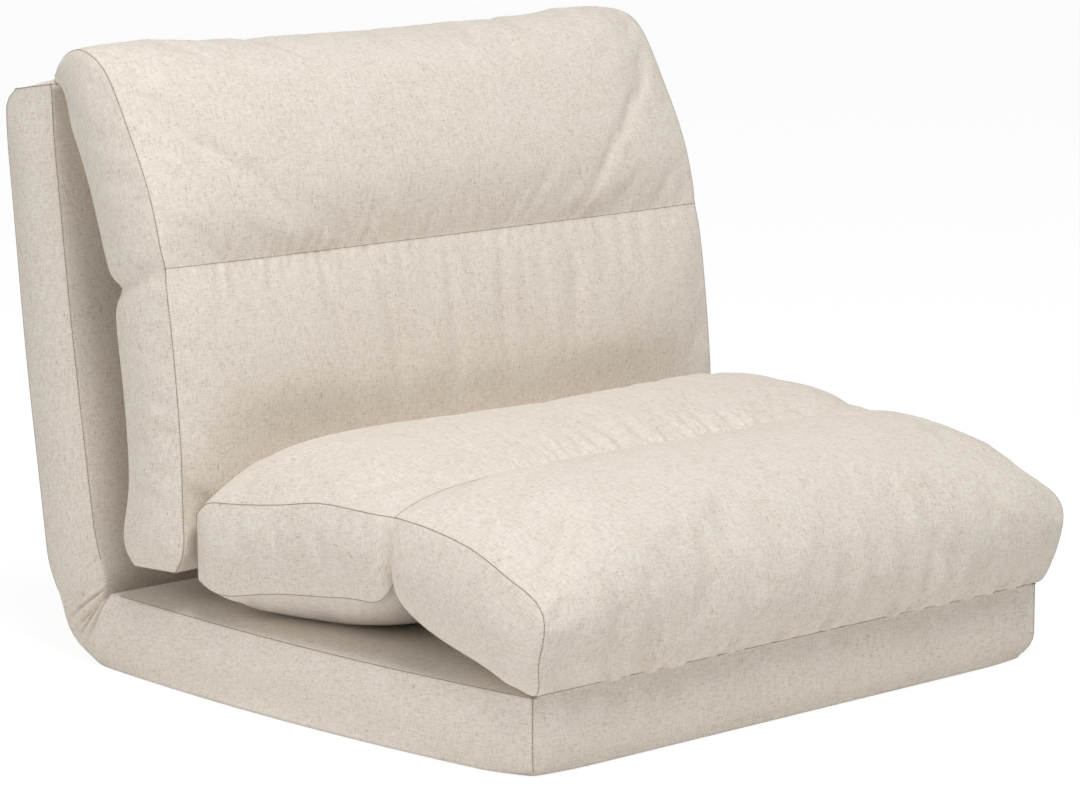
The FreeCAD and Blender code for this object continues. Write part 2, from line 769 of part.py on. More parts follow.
def slider_piece(length):
    """Slider closed over the teeth at the zip's left end, with a flat pull lying beside it."""
    start = -length / 2 + slider_length
    low = zip_tape_thickness + soft_clearance
    high = zip_tape_thickness + zip_teeth_height + slider_height
    half = slider_width / 2
    body = box((start, -half, low), (start + slider_length, half, high))
    slot_half = zip_teeth_width / 2 + soft_clearance
    slot_top = zip_tape_thickness + zip_teeth_height + soft_clearance
    body = body.cut(box((start - 1, -slot_half, 0), (start + slider_length + 1, slot_half, slot_top)))
    pull = box(
        (start + slider_length / 2, -pull_width / 2, high),
        (start + slider_length / 2 + pull_length, pull_width / 2, high + pull_thickness),
    )
    return body.fuse(pull).removeSplitter()


def place_zip(name, length, turn, place):
    """Fit a zip and its slider, turned about X and moved to a (y, z) place."""
    for suffix, piece in (("zip", zip_piece(length)), ("zip_slider", slider_piece(length))):
        piece.rotate(Vector(0, 0, 0), Vector(1, 0, 0), turn)
        piece.translate(Vector(0, *place))
        keep(f"{name}_{suffix}", piece)


# Base panel and back panel. The base is drawn the other way round, so its left side is drawn as the right.

turned_names = {"left_tube": "right_tube", "right_tube": "left_tube"}
for prefix, length, outer, place in (
    ("base", base_length, hinge_height, place_base),
    ("back", back_panel_length, inner_half, place_back),
):
    for tube_name, tube in make_frame(length).items():
        if prefix == "base":
            tube_name = turned_names.get(tube_name, tube_name)
        keep(f"{prefix}_{tube_name}", place(tube))
    keep(f"{prefix}_tube_plugs", place(Part.makeCompound(make_plugs(length))))
    keep(f"{prefix}_tongue_rivets", place(Part.makeCompound(tongue_rivets())))
    upper_foam, lower_foam = make_foam(length, inner_half, outer)
    keep(f"{prefix}_inner_foam", place(upper_foam))
    keep(f"{prefix}_outer_foam", place(lower_foam))
    keep(f"{prefix}_cover", place(make_cover(length, inner_half, outer, prefix == "base")))

base_block = panel_solid(base_length, inner_half, hinge_height, 0)
back_block = panel_solid(back_panel_length, inner_half, inner_half, 0)
keep("base_underside_cloth", place_base(make_underside(base_length, hinge_height)))

for side_name, side in (("left", -1), ("right", 1)):
    make_hinge(side_name, side)

keep("corner_cloth", make_corner_cloth())
keep("crease_cloth", make_crease_cloth())

# Cushions and the piping and tape along their seams

make_channel("seat_front", seat_hinge, seat_front_curves())
make_channel("seat_rear", seat_fold, seat_rear_curves())
make_channel("back_upper", back_hinge, back_upper_curves())
make_channel("back_lower", back_fold, back_lower_curves())

keep("seat_piping", make_piping(seat_hinge, (0, 0, 1), 180.0, place_base(base_block)))
keep("back_piping", make_piping(back_hinge, (1, 0, 0), 90.0 - back_lean, place_back(back_block)))
for name, place in (("seat_channel_tape", seat_fold), ("back_channel_tape", back_fold)):
    reach = half_cushion - tape_margin
    keep(name, rod(tape_radius, (-reach, *place), (reach, *place)))

# Zips on the rear faces of the back panel, the back cushion's lower channel and the seat's rear channel

zip_length = cushion_width - 2 * crown_full
panel_zip_place = corner_point(panel_zip_rise, -inner_half)
back_zip_place = (back_fold[0] + back_rear_crown + zip_stand_off, back_fold[1] - back_zip_drop)
seat_zip_place = (seat_fold[0] + seat_rear_length + zip_stand_off, seat_fold[1] - seat_zip_drop)
place_zip("panel", zip_length, -90.0 - back_lean, panel_zip_place)
place_zip("back_cushion", zip_length, -90.0, back_zip_place)
place_zip("seat_cushion", zip_length, -90.0, seat_zip_place)

for name, shape in pieces.items():
    solids = shape.Solids
    volume = sum(s.Volume for s in solids)
    print(f"{name:32s} solids {len(solids)} volume {volume / 1000:9.2f} cm3 valid {shape.isValid()}")
    shape.exportStep(f"parts/{name}.step")
print(len(pieces), "nodes")
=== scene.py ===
import json
import math

import bmesh
import bpy
import numpy as np
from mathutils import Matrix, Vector


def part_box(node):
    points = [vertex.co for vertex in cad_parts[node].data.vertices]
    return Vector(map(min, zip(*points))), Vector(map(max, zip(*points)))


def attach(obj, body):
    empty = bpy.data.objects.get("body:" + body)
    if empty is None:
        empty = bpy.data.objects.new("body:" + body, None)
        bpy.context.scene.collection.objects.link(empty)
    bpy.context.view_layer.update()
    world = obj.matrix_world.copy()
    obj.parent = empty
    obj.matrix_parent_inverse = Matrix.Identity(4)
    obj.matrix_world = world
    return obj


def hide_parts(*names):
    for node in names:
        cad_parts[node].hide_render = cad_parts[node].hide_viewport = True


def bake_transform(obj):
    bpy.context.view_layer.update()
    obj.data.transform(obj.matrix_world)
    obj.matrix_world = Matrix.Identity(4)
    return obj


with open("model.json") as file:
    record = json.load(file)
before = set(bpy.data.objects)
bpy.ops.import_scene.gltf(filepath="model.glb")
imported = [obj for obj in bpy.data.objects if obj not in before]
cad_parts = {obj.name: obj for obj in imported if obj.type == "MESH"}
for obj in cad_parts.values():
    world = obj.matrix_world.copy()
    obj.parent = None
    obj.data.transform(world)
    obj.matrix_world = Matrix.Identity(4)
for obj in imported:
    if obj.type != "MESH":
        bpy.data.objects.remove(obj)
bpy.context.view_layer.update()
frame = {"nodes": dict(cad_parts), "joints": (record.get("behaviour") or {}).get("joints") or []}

# Folding floor chair in beige heather cloth: a padded base panel, a padded back panel hinged to it, a seat
# cushion of two channels sewn to the base's front edge and a back cushion of two channels that hangs from
# the back panel's top edge. Metres. X runs across, -Y is the front, +Z is up.

MM = 0.001

# Joint places that the frame gives
joint_place = {j["name"]: Vector(j["pos_m"]) for j in frame["joints"] if "pos_m" in j}
HINGE = joint_place["back_recline"]
BACK_SEAM = joint_place["back_cushion_flip"]
BACK_FOLD = joint_place["back_cushion_unfold"]
SEAT_SEAM = joint_place["seat_flip"]
SEAT_FOLD = joint_place["seat_unfold"]

# Panels
panel_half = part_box("base_underside_cloth")[1].x + 15.5 * MM
base_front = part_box("base_cover")[0].y
base_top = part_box("base_cover")[1].z
back_thickness = 80 * MM
back_lean = math.radians(8.4)
UP_BACK = Vector((0, math.sin(back_lean), math.cos(back_lean)))
OUT_BACK = Vector((0, math.cos(back_lean), -math.sin(back_lean)))
mitre_turn = (math.pi / 2 + back_lean) / 2
crease_reach = (base_top - HINGE.z) / math.tan(mitre_turn)
CREASE = Vector((0, HINGE.y - crease_reach, base_top))
back_length = 552 * MM
fan_steps = 50
pleats = 5
panel_columns = 92
panel_step = 8.5 * MM

# Cushions
crown_full = 125 * MM
crown_extra = 75 * MM
crown_power = 3.0
grid_step = 6.8 * MM
swell_frames = 20
swell_cap = 22 * MM
gusset_steps = 12
zip_band = 16 * MM
zip_reach = 262 * MM
seam_crease = 0.7

# Colours, as sRGB
cloth_pale = "#EFE9E0"
cloth_light = "#E7DFD4"
cloth_mid = "#DCD2C5"
cloth_dark = "#B6A893"
# The thread's darker tone is partly painted shade, standing in for the shadow in the seam grooves.
thread_tone_with_seam_shade = "#AC9D88"


def linear(code):
    """Linear colour of an sRGB hex code."""
    parts = [int(code[i : i + 2], 16) / 255 for i in (1, 3, 5)]
    return [c / 12.92 if c <= 0.04045 else ((c + 0.055) / 1.055) ** 2.4 for c in parts] + [1.0]


# Materials


def new_material(name):
    """An empty material with its output node."""
    material = bpy.data.materials.new(name)
    material.use_nodes = True
    material.node_tree.nodes.clear()
    return material, material.node_tree


def add(tree, kind, settings=None, inputs=None, links=None):
    """Add a node, set its own settings and its sockets, and link sockets to other nodes' outputs."""
    node = tree.nodes.new(kind)
    for key, value in (settings or {}).items():
        setattr(node, key, value)
    for key, value in (inputs or {}).items():
        node.inputs[key].default_value = value
    for key, output in (links or {}).items():
        tree.links.new(output, node.inputs[key])
    return node


def ramp(tree, source, stops):
    """Colour ramp through the given (place, colour) stops."""
    node = add(tree, "ShaderNodeValToRGB", links={"Fac": source})
    elements = node.color_ramp.elements
    elements[0].position, elements[0].color = stops[0]
    elements[1].position, elements[1].color = stops[-1]
    for place, colour in stops[1:-1]:
        element = elements.new(place)
        element.color = colour
    return node.outputs["Color"]


def heather_cloth(name):
    """Woven polyester that looks like linen. Slubs of several yarn colours lie along the warp."""
    material, tree = new_material(name)
    # The UV map is in metres, U across the warp and V along it.
    place = add(tree, "ShaderNodeUVMap", {"uv_map": "weave"}).outputs["UV"]

    def streaks(width_mm, length_mm, detail, seed):
        scaled = add(
            tree,
            "ShaderNodeMapping",
            inputs={"Scale": (1 / (width_mm * MM), 1 / (length_mm * MM), 1), "Location": (seed, seed, seed)},
            links={"Vector": place},
        )
        noise = add(
            tree,
            "ShaderNodeTexNoise",
            inputs={"Scale": 1.0, "Detail": detail, "Roughness": 0.6},
            links={"Vector": scaled.outputs["Vector"]},
        )
        return noise.outputs["Fac"]

    # A slub is about 1.5 mm wide and 15 mm long. The yarns are really 0.4 mm apart, drawn at 1 mm.
    slub = streaks(1.5, 15.0, 1.0, 3.1)
    fine_slub = streaks(0.9, 6.0, 0.0, 17.7)
    weft = streaks(6.5, 0.95, 0.0, 41.3)
    patch = streaks(45.0, 70.0, 2.0, 71.9)
    warp = add(tree, "ShaderNodeMix", {"data_type": "FLOAT"}, {"Factor": 0.5}, {"A": slub, "B": fine_slub})
    yarns = add(
        tree, "ShaderNodeMix", {"data_type": "FLOAT"}, {"Factor": 0.36}, {"A": warp.outputs[0], "B": weft}
    )
    tone = add(
        tree, "ShaderNodeMix", {"data_type": "FLOAT"}, {"Factor": 0.1}, {"A": yarns.outputs[0], "B": patch}
    )
    stops = [(0.26, cloth_dark), (0.41, cloth_mid), (0.54, cloth_light), (0.70, cloth_pale)]
    stops = [(place, linear(code)) for place, code in stops]
    colour = ramp(tree, tone.outputs[0], stops)
    bump = add(
        tree,
        "ShaderNodeBump",
        inputs={"Strength": 0.35, "Distance": 0.5 * MM},
        links={"Height": yarns.outputs[0]},
    )
    shader = add(
        tree,
        "ShaderNodeBsdfPrincipled",
        inputs={
            "Roughness": 0.92,
            "Specular IOR Level": 0.25,
            "Sheen Weight": 0.25,
            "Sheen Roughness": 0.5,
            "Sheen Tint": linear("#F4EEE4"),
        },
        links={"Base Color": colour, "Normal": bump.outputs["Normal"]},
    )
    add(tree, "ShaderNodeOutputMaterial", links={"Surface": shader.outputs["BSDF"]})
    return material


def grained(name, low, high, grain_mm, roughness, metallic=0.0, bump_mm=0.05, stretch=(1, 1, 1), coat=0.0):
    """A surface whose tone and height vary with a fine grain on Object coordinates."""
    material, tree = new_material(name)
    place = add(tree, "ShaderNodeTexCoord").outputs["Object"]
    scale = [s / (grain_mm * MM) for s in stretch]
    scaled = add(tree, "ShaderNodeMapping", inputs={"Scale": scale}, links={"Vector": place})
    noise = add(
        tree,
        "ShaderNodeTexNoise",
        inputs={"Scale": 1.0, "Detail": 3.0, "Roughness": 0.55},
        links={"Vector": scaled.outputs["Vector"]},
    )
    colour = ramp(tree, noise.outputs["Fac"], [(0.3, linear(low)), (0.7, linear(high))])
    bump = add(
        tree,
        "ShaderNodeBump",
        inputs={"Strength": 0.5, "Distance": bump_mm * MM},
        links={"Height": noise.outputs["Fac"]},
    )
    shader = add(
        tree,
        "ShaderNodeBsdfPrincipled",
        inputs={"Roughness": roughness, "Metallic": metallic, "Coat Weight": coat},
        links={"Base Color": colour, "Normal": bump.outputs["Normal"]},
    )
    add(tree, "ShaderNodeOutputMaterial", links={"Surface": shader.outputs["BSDF"]})
    return material


# Polyester upholstery cloth, woven from mixed beige yarns, matt with a faint nap.
woven_cloth = heather_cloth("woven_heather_polyester")
# Spun polyester sewing thread, a tone darker than the cloth. The darker tone is partly the thread's own
# colour and partly painted shade of the seam groove.
thread_with_painted_seam_shade = grained("spun_polyester_thread", "#857661", thread_tone_with_seam_shade, 0.8, 0.8)
# Polyurethane foam, cut from block, open cells of about 1 mm.
cut_foam = grained("cut_polyurethane_foam", "#E4D9A8", "#F1E9C6", 1.2, 0.95, bump_mm=0.3)
# Spun-bonded polypropylene, embossed all over.
spunbond_cloth = grained("spunbonded_polypropylene", "#26262A", "#38383C", 1.4, 0.9, bump_mm=0.2)
# Polyester zip tape, knitted.
knitted_tape = grained("knitted_zip_tape", "#B9AC97", "#C9BDA9", 0.9, 0.85, bump_mm=0.1)
# Nylon coil teeth.
nylon_coil = grained("moulded_nylon_coil", "#A89B86", "#B8AC98", 0.7, 0.5)
# Zinc alloy slider, die-cast and nickel plated.
plated_zinc = grained("nickel_plated_zinc", "#B4B2AC", "#C9C7C1", 2.0, 0.32, metallic=1.0, bump_mm=0.02)
# Steel tube with black powder coat, faint orange peel.
powder_coat = grained("powder_coated_steel", "#1B1B1D", "#242427", 1.5, 0.45, bump_mm=0.05)
# Pressed steel plate, bright zinc plated.
zinc_plate = grained(
    "zinc_plated_pressed_steel", "#9C9FA1", "#B7BABC", 3.0, 0.38, metallic=1.0, bump_mm=0.02
)
# Steel rivets, plain with cold-formed heads.
rivet_steel = grained("cold_formed_rivet_steel", "#86898B", "#A0A3A5", 1.0, 0.42, metallic=1.0)
# Black polyethylene, moulded.
moulded_plastic = grained("moulded_black_polyethylene", "#141415", "#1D1D1F", 1.0, 0.5)


# Lines and grids


def smooth_line(points, shares, dense=600):
    """Points on a natural cubic spline through the given points, at shares of its length."""
    p = np.array(points, float)
    t = np.concatenate([[0], np.cumsum(np.linalg.norm(np.diff(p, axis=0), axis=1) ** 0.75)])
    n = len(p)
    if n == 2:
        at = np.linspace(0, 1, dense)[:, None]
        line = p[0] * (1 - at) + p[1] * at
    else:
        h = np.diff(t)
        matrix = np.eye(n)
        right = np.zeros_like(p)
        for i in range(1, n - 1):
            matrix[i, i - 1 : i + 2] = (h[i - 1], 2 * (h[i - 1] + h[i]), h[i])
            right[i] = 6 * ((p[i + 1] - p[i]) / h[i] - (p[i] - p[i - 1]) / h[i - 1])
        second = np.linalg.solve(matrix, right)
        at = np.linspace(0, t[-1], dense)
        k = np.clip(np.searchsorted(t, at, "right") - 1, 0, n - 2)
        a = (t[k + 1] - at)[:, None]
        b = (at - t[k])[:, None]
        w = h[k][:, None]
        line = second[k] * a**3 / (6 * w) + second[k + 1] * b**3 / (6 * w)
        line += (p[k] / w - second[k] * w / 6) * a + (p[k + 1] / w - second[k + 1] * w / 6) * b
    along = runs_along(line)
    want = np.asarray(shares) * along[-1]
    return np.stack([np.interp(want, along, line[:, k]) for k in range(line.shape[1])], axis=1)


def length_of(points):
    """Length of a line of points."""
    return float(np.linalg.norm(np.diff(np.asarray(points, float), axis=0), axis=1).sum())


def box_grid(na, nb, nc):
    """Surface of a box divided na, nb and nc times: vertex keys, quads and each quad's side."""
    index, quads, sides = {}, [], []

    def spot(a, b, c):
        return index.setdefault((a, b, c), len(index))

    for a in range(na):
        for b in range(nb):
            for c, side in ((nc, "upper"), (0, "lower")):
                quads.append([spot(a, b, c), spot(a + 1, b, c), spot(a + 1, b + 1, c), spot(a, b + 1, c)])
                sides.append(side)
    for a in range(na):
        for c in range(nc):
            for b, side in ((0, "left"), (nb, "right")):
                quads.append([spot(a, b, c), spot(a + 1, b, c), spot(a + 1, b, c + 1), spot(a, b, c + 1)])
                sides.append(side)
    for b in range(nb):
        for c in range(nc):
            for a, side in ((0, "start"), (na, "end")):
                quads.append([spot(a, b, c), spot(a, b + 1, c), spot(a, b + 1, c + 1), spot(a, b, c + 1)])
                sides.append(side)
    keys = np.array(list(index), int)
    return keys, np.array(quads), sides, index


def runs_along(line):
    """Distance of each point of a line from its first point, along the line."""
    return np.concatenate([[0], np.cumsum(np.linalg.norm(np.diff(line, axis=0), axis=1))])


def place_piece(name, data):
    """A new object in the scene, at the origin."""
    piece = bpy.data.objects.new(name, data)
    bpy.context.scene.collection.objects.link(piece)
    return piece


def turn_outwards(mesh):
    """Turn the faces of a closed mesh outwards."""
    work = bmesh.new()
    work.from_mesh(mesh)
    bmesh.ops.recalc_face_normals(work, faces=work.faces)
    work.to_mesh(mesh)
    work.free()


def weave_map(keys, quads, sides, width, tall, run, cuts):
    """Weave UVs in metres. Each side of a piece is cut from its own place in the cloth."""
    nb, nc = keys[:, 1].max(), keys[:, 2].max()
    uvs = []
    for quad, side in zip(keys[quads], sides):
        for ka, kb, kc in quad:
            if side in ("upper", "lower"):
                uvs.append((kb / nb * width + cuts[side], run[ka]))
            elif side in ("left", "right"):
                uvs.append((kc / nc * tall[ka] + cuts[side], run[ka]))
            else:
                uvs.append((kc / nc * tall[ka] + cuts[side], kb / nb * width))
    return uvs


def build_mesh(name, points, quads, uvs, material):
    """A mesh object at the origin with its faces turned outwards and its weave UV map."""
    mesh = bpy.data.meshes.new(name)
    mesh.from_pydata(points.tolist(), [], [[int(corner) for corner in face] for face in quads])
    layer = mesh.uv_layers.new(name="weave")
    layer.data.foreach_set("uv", np.asarray(uvs, np.float32).ravel())
    turn_outwards(mesh)
    mesh.materials.append(material)
    mesh.polygons.foreach_set("use_smooth", [True] * len(mesh.polygons))
    return place_piece(name, mesh)


def mesh_points(mesh):
    """Vertex places of a mesh as an array."""
    co = np.zeros(len(mesh.vertices) * 3)
    mesh.vertices.foreach_get("co", co)
    return co.reshape(-1, 3)


def set_points(mesh, points):
    """Write vertex places back to a mesh."""
    mesh.vertices.foreach_set("co", points.ravel())
    mesh.update()


def plain_copy(piece):
    """Replace a piece's mesh by its evaluated one and drop its modifiers."""
    graph = bpy.context.evaluated_depsgraph_get()
    mesh = bpy.data.meshes.new_from_object(piece.evaluated_get(graph), depsgraph=graph)
    piece.modifiers.clear()
    piece.data = mesh
    return piece


# Cushions. Each is one closed cover over two channels. Its outlines are in (y, z) millimetres from the seam
# that holds it, one run for each channel: where the gussets end it (side) and at its middle (middle).

seat_plan = {
    "hinge": SEAT_SEAM,
    "fold": SEAT_FOLD,
    "upper_side": (
        [(-1, -0.5), (-9, 12), (-18, 38), (-27, 70), (-25, 88), (-10, 102), (20, 114.5), (67, 134),
         (120, 146), (158, 150.5), (190, 151.5)],
        [(190, 151.5), (233, 151), (305, 150), (352, 142), (412, 133), (460, 128), (486, 123), (500, 110)],
    ),
    "upper_middle": (
        [(-1, -0.5), (-32, 40), (-49, 80), (-42, 112), (-10, 140), (36, 158), (85, 169), (135, 175),
         (180, 175), (206, 172)],
        [(206, 172), (232, 177), (272, 186), (320, 191), (365, 192), (410, 189), (452, 179), (484, 160),
         (503, 130)],
    ),
    "lower_side": (
        [(1.5, -0.5), (53, 20), (115, 37), (162, 55), (184, 70), (197, 90)],
        [(197, 90), (200, 75), (212, 63), (250, 59), (291, 54.5), (349, 48), (410, 38), (446, 31), (475, 31),
         (499, 40)],
    ),
    "lower_middle": (
        [(1.5, -0.5), (55, 15), (100, 25), (135, 35), (162, 47), (184, 64), (200, 88)],
        [(200, 88), (213, 56), (240, 33), (275, 22), (322, 15), (390, 9), (448, 8), (485, 17), (501, 36)],
    ),
    "half_widths": (380 * MM, 391 * MM, 60 * MM),
    "bulges": (9.0, 2.0),
    "pinch": (9.0, 16 * MM),
}
back_plan = {
    "hinge": BACK_SEAM,
    "fold": BACK_FOLD,
    "upper_side": (
        [(-8, 7), (-26, 27), (-50, 38), (-80, 40), (-110, 28), (-133, 1), (-155, -37), (-187, -98),
         (-201, -139), (-211, -179)],
        [(-211, -179), (-222, -242), (-231, -316), (-235, -358), (-237, -400), (-238, -443), (-236, -482),
         (-223, -502)],
    ),
    "upper_middle": (
        [(-8, 7), (-28, 28), (-58, 44), (-92, 51), (-126, 40), (-154, 6), (-180, -45), (-203, -100),
         (-216, -148), (-212, -180)],
        [(-212, -180), (-227, -206), (-234, -242), (-237, -290), (-235, -335), (-231, -378), (-231, -446),
         (-224, -501)],
    ),
    "lower_side": (
        [(-5, 3), (-30, -8), (-58, -44), (-88, -106), (-107, -160), (-122, -196), (-131, -209)],
        [(-131, -209), (-129, -232), (-138, -305), (-145, -369), (-144, -434), (-137, -484), (-154, -505)],
    ),
    "lower_middle": (
        [(-5, 3), (-18, -20), (-28, -45), (-40, -75), (-58, -120), (-84, -168), (-110, -198), (-131, -209)],
        [(-131, -209), (-104, -240), (-92, -288), (-89, -333), (-90, -388), (-98, -446), (-132, -500)],
    ),
    "half_widths": (382 * MM, 399 * MM, 120 * MM),
    "bulges": (7.0, 12.0),
    "pinch": (8.0, 15 * MM),
}


def runs_at_steps(runs, counts):
    """One line of points through all runs, each divided into its own count of steps."""
    parts = []
    for number, (run, count) in enumerate(zip(runs, counts)):
        shares = np.arange(count + 1) / count
        parts.append(smooth_line(run, shares)[0 if number == 0 else 1 :])
    return np.concatenate(parts) * MM


def cushion_grid(name, plan):
    """Mesh of one cushion before it swells, with its seam lines."""
    counts = []
    for number in range(2):
        lengths = [length_of(plan[key][number]) for key in ("upper_side", "upper_middle", "lower_middle")]
        counts.append(round(max(lengths) * MM / grid_step))
    keys_of_lines = ("upper_side", "upper_middle", "lower_side", "lower_middle")
    lines = {key: runs_at_steps(plan[key], counts) for key in keys_of_lines}
    na = sum(counts)
    fold_at = counts[0]
    widest = max(plan["half_widths"][:2])
    nb = 2 * round(widest / grid_step)
    nc = gusset_steps
    keys, quads, sides, index = box_grid(na, nb, nc)
    a = keys[:, 0]
    share_b = 2 * keys[:, 1] / nb - 1
    share_c = keys[:, 2] / nc
    middle = lines["upper_middle"]
    run = runs_along(middle)
    near, far, reach = plan["half_widths"]
    grow = np.clip(run / reach, 0, 1)
    half = near + (far - near) * grow * grow * (3 - 2 * grow)
    x = share_b * half[a]
    crown_reach = crown_full + crown_extra * np.exp(-(((run[a] - run[fold_at]) / (60 * MM)) ** 2))
    inset = np.clip((half[a] - np.abs(x)) / crown_reach, 0, 1)
    crown = (1 - (1 - inset) ** crown_power)[:, None]
    high = lines["upper_side"][a] * (1 - crown) + middle[a] * crown
    low = lines["lower_side"][a] * (1 - crown) + lines["lower_middle"][a] * crown
    flat = low + (high - low) * share_c[:, None]
    # gussets belly out between their seams and are pinched at the fold
    side_bulge, end_bulge = plan["bulges"]
    depth, width = plan["pinch"]
    on_side = np.abs(share_b) > 0.999
    belly = 1 - (2 * share_c - 1) ** 2
    fade = np.clip(run[a] / (40 * MM), 0, 1) * np.clip((run[-1] - run[a]) / (30 * MM), 0, 1)
    pinch = np.exp(-(((run[a] - run[fold_at]) / width) ** 2)) * np.clip(1.15 - share_c, 0, 1) ** 0.6
    x = x + np.sign(share_b) * on_side * (side_bulge * belly * fade - depth * pinch) * MM
    # the far end bellies too
    across = high - low
    across /= np.maximum(1e-6, np.linalg.norm(across, axis=1))[:, None]
    push = np.stack([across[:, 1], -across[:, 0]], axis=1)
    onward = middle[-1] - middle[-2]
    push *= np.sign(push @ onward)[:, None]
    flat += push * ((a == na) * end_bulge * belly * (1 - np.abs(share_b) ** 6) * MM)[:, None]
    hinge = plan["hinge"]
    points = np.stack([x, hinge.y + flat[:, 0], hinge.z + flat[:, 1]], axis=1)
    gusset = np.linalg.norm(lines["upper_side"] - lines["lower_side"], axis=1)
    cuts = {"upper": 0.0, "lower": 3.0, "left": 5.0, "right": 7.0, "start": 9.0, "end": 9.0}
    uvs = weave_map(keys, quads, sides, 2 * widest, gusset, run, cuts)
    piece = build_mesh(name, points, quads, uvs, woven_cloth)
    seams = {}
    for side_name, b in (("left", 0), ("right", nb)):
        for level_name, c in (("upper", nc), ("lower", 0)):
            seams[f"{side_name}_{level_name}"] = [index[(k, b, c)] for k in range(na + 1)]
        seams[f"{side_name}_end"] = [index[(na, b, k)] for k in range(nc + 1)]
    for level_name, c in (("upper", nc), ("lower", 0)):
        seams[f"start_{level_name}"] = [index[(0, k, c)] for k in range(nb + 1)]
        seams[f"fold_{level_name}"] = [index[(fold_at, k, c)] for k in range(nb + 1)]
        seams[f"end_{level_name}"] = [index[(na, k, c)] for k in range(nb + 1)]
    tucked = [index[(fold_at, b, k)] for b in (0, nb) for k in range(round(nc * 0.6))]
    start_face = [index[(0, k, c)] for k in range(nb + 1) for c in range(nc + 1)]
    return {"piece": piece, "seams": seams, "held": tucked + start_face, "rest": points.copy()}


def swell(cushions):
    """Let the covers swell under the filling's pressure, held at their seams, as sewn cushions do."""
    scene = bpy.context.scene
    for cushion in cushions:
        piece = cushion["piece"]
        group = piece.vertex_groups.new(name="sewn")
        pinned = sorted({v for line in cushion["seams"].values() for v in line} | set(cushion["held"]))
        group.add(pinned, 1.0, "REPLACE")
        cloth = piece.modifiers.new("swell", "CLOTH")
        settings = cloth.settings
        settings.quality = 5
        settings.mass = 0.3
        settings.tension_stiffness = 14
        settings.compression_stiffness = 14
        settings.shear_stiffness = 5
        settings.bending_stiffness = 0.6
        settings.use_pressure = True
        settings.uniform_pressure_force = 4.0
        settings.shrink_min = -0.012
        settings.vertex_group_mass = "sewn"
        settings.effector_weights.gravity = 0.0
        cloth.collision_settings.use_collision = False
        cloth.point_cache.frame_start = 1
        cloth.point_cache.frame_end = swell_frames
    for number in range(1, swell_frames + 1):
        scene.frame_set(number)
    for cushion in cushions:
        piece = cushion["piece"]
        plain_copy(piece)
        points = mesh_points(piece.data)
        moved = points - cushion["rest"]
        size = np.linalg.norm(moved, axis=1)
        kept = np.where(size > 1e-9, swell_cap * np.tanh(size / swell_cap) / np.maximum(size, 1e-9), 0)
        set_points(piece.data, cushion["rest"] + moved * kept[:, None])
        piece.vertex_groups.clear()
    scene.frame_set(1)


def add_subdivision(piece, crease_lines):
    """One level of subdivision with soft creases along the seams."""
    mesh = piece.data
    pairs = {tuple(sorted(p)) for line in crease_lines for p in zip(line[:-1], line[1:])}
    crease = mesh.attributes.new("crease_edge", "FLOAT", "EDGE")
    ends = np.zeros(len(mesh.edges) * 2, int)
    mesh.edges.foreach_get("vertices", ends)
    values = [seam_crease if tuple(sorted(e)) in pairs else 0.0 for e in ends.reshape(-1, 2).tolist()]
    crease.data.foreach_set("value", values)
    finer = piece.modifiers.new("finer", "SUBSURF")
    finer.levels = 1
    finer.render_levels = 1
    plain_copy(piece)


def mesh_normals(mesh):
    """Vertex normals of a mesh as an array."""
    out = np.zeros(len(mesh.vertices) * 3)
    mesh.vertices.foreach_get("normal", out)
    return out.reshape(-1, 3)


def gather(piece, seam, places, widths, lengths, depths, allowed, seed):
    """Press short folds into the cloth across a seam, each a groove between two small ridges."""
    rng = np.random.default_rng(seed)
    mesh = piece.data
    points = mesh_points(mesh)
    normals = mesh_normals(mesh)
    line = points[seam]
    order = np.argsort(line[:, 0])
    line = line[order]
    seam_y = np.interp(points[:, 0], line[:, 0], line[:, 1])
    seam_z = np.interp(points[:, 0], line[:, 0], line[:, 2])
    away = np.hypot(points[:, 1] - seam_y, points[:, 2] - seam_z)
    push = np.zeros(len(points))
    for place in places:
        width = rng.uniform(*widths) * MM
        length = rng.uniform(*lengths) * MM
        depth = rng.uniform(*depths) * MM
        lean = rng.uniform(-0.22, 0.22)
        start = rng.uniform(0.0, 0.2)
        across = (points[:, 0] - place * MM - lean * away) / (width * (1 + 0.8 * away / length))
        along = away / length
        fade = np.exp(-((np.maximum(along - start, 0)) ** 2) * 2.2) * np.clip(along / 0.08, 0, 1)
        push -= depth * (1 - across**2) * np.exp(-(across**2) / 2) * fade
    push *= allowed(points)
    set_points(mesh, points + normals * push[:, None])


def spread_places(low, high, spacing, seed):
    """Uneven places in millimetres from low to high, about one spacing apart."""
    rng = np.random.default_rng(seed)
    places = []
    at = low
    while at < high:
        places.append(at)
        at += spacing * rng.uniform(0.55, 1.45)
    return places


seat = cushion_grid("seat_cushion", seat_plan)
back = cushion_grid("back_cushion", back_plan)


def hold_zip(cushion, keep_y, middle_z, half_tall):
    """Vertices in the band that a zip is sewn to, laid flat in the zip's plane."""
    points = cushion["rest"]
    near_zip = (np.abs(points[:, 0]) < zip_reach) & (np.abs(points[:, 2] - middle_z) < half_tall)
    near_zip &= np.abs(points[:, 1] - keep_y) < 22 * MM
    spots = np.nonzero(near_zip)[0]
    points[spots, 1] = keep_y
    set_points(cushion["piece"].data, points)
    cushion["held"] += spots.tolist()


back_zip_low, back_zip_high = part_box("back_cushion_zip")
seat_zip_low, seat_zip_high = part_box("seat_cushion_zip")
hold_zip(back, back_zip_low.y + 0.2 * MM, (back_zip_low.z + back_zip_high.z) / 2, zip_band)
hold_zip(seat, seat_zip_low.y + 0.2 * MM, (seat_zip_low.z + seat_zip_high.z) / 2, zip_band)

swell([seat, back])

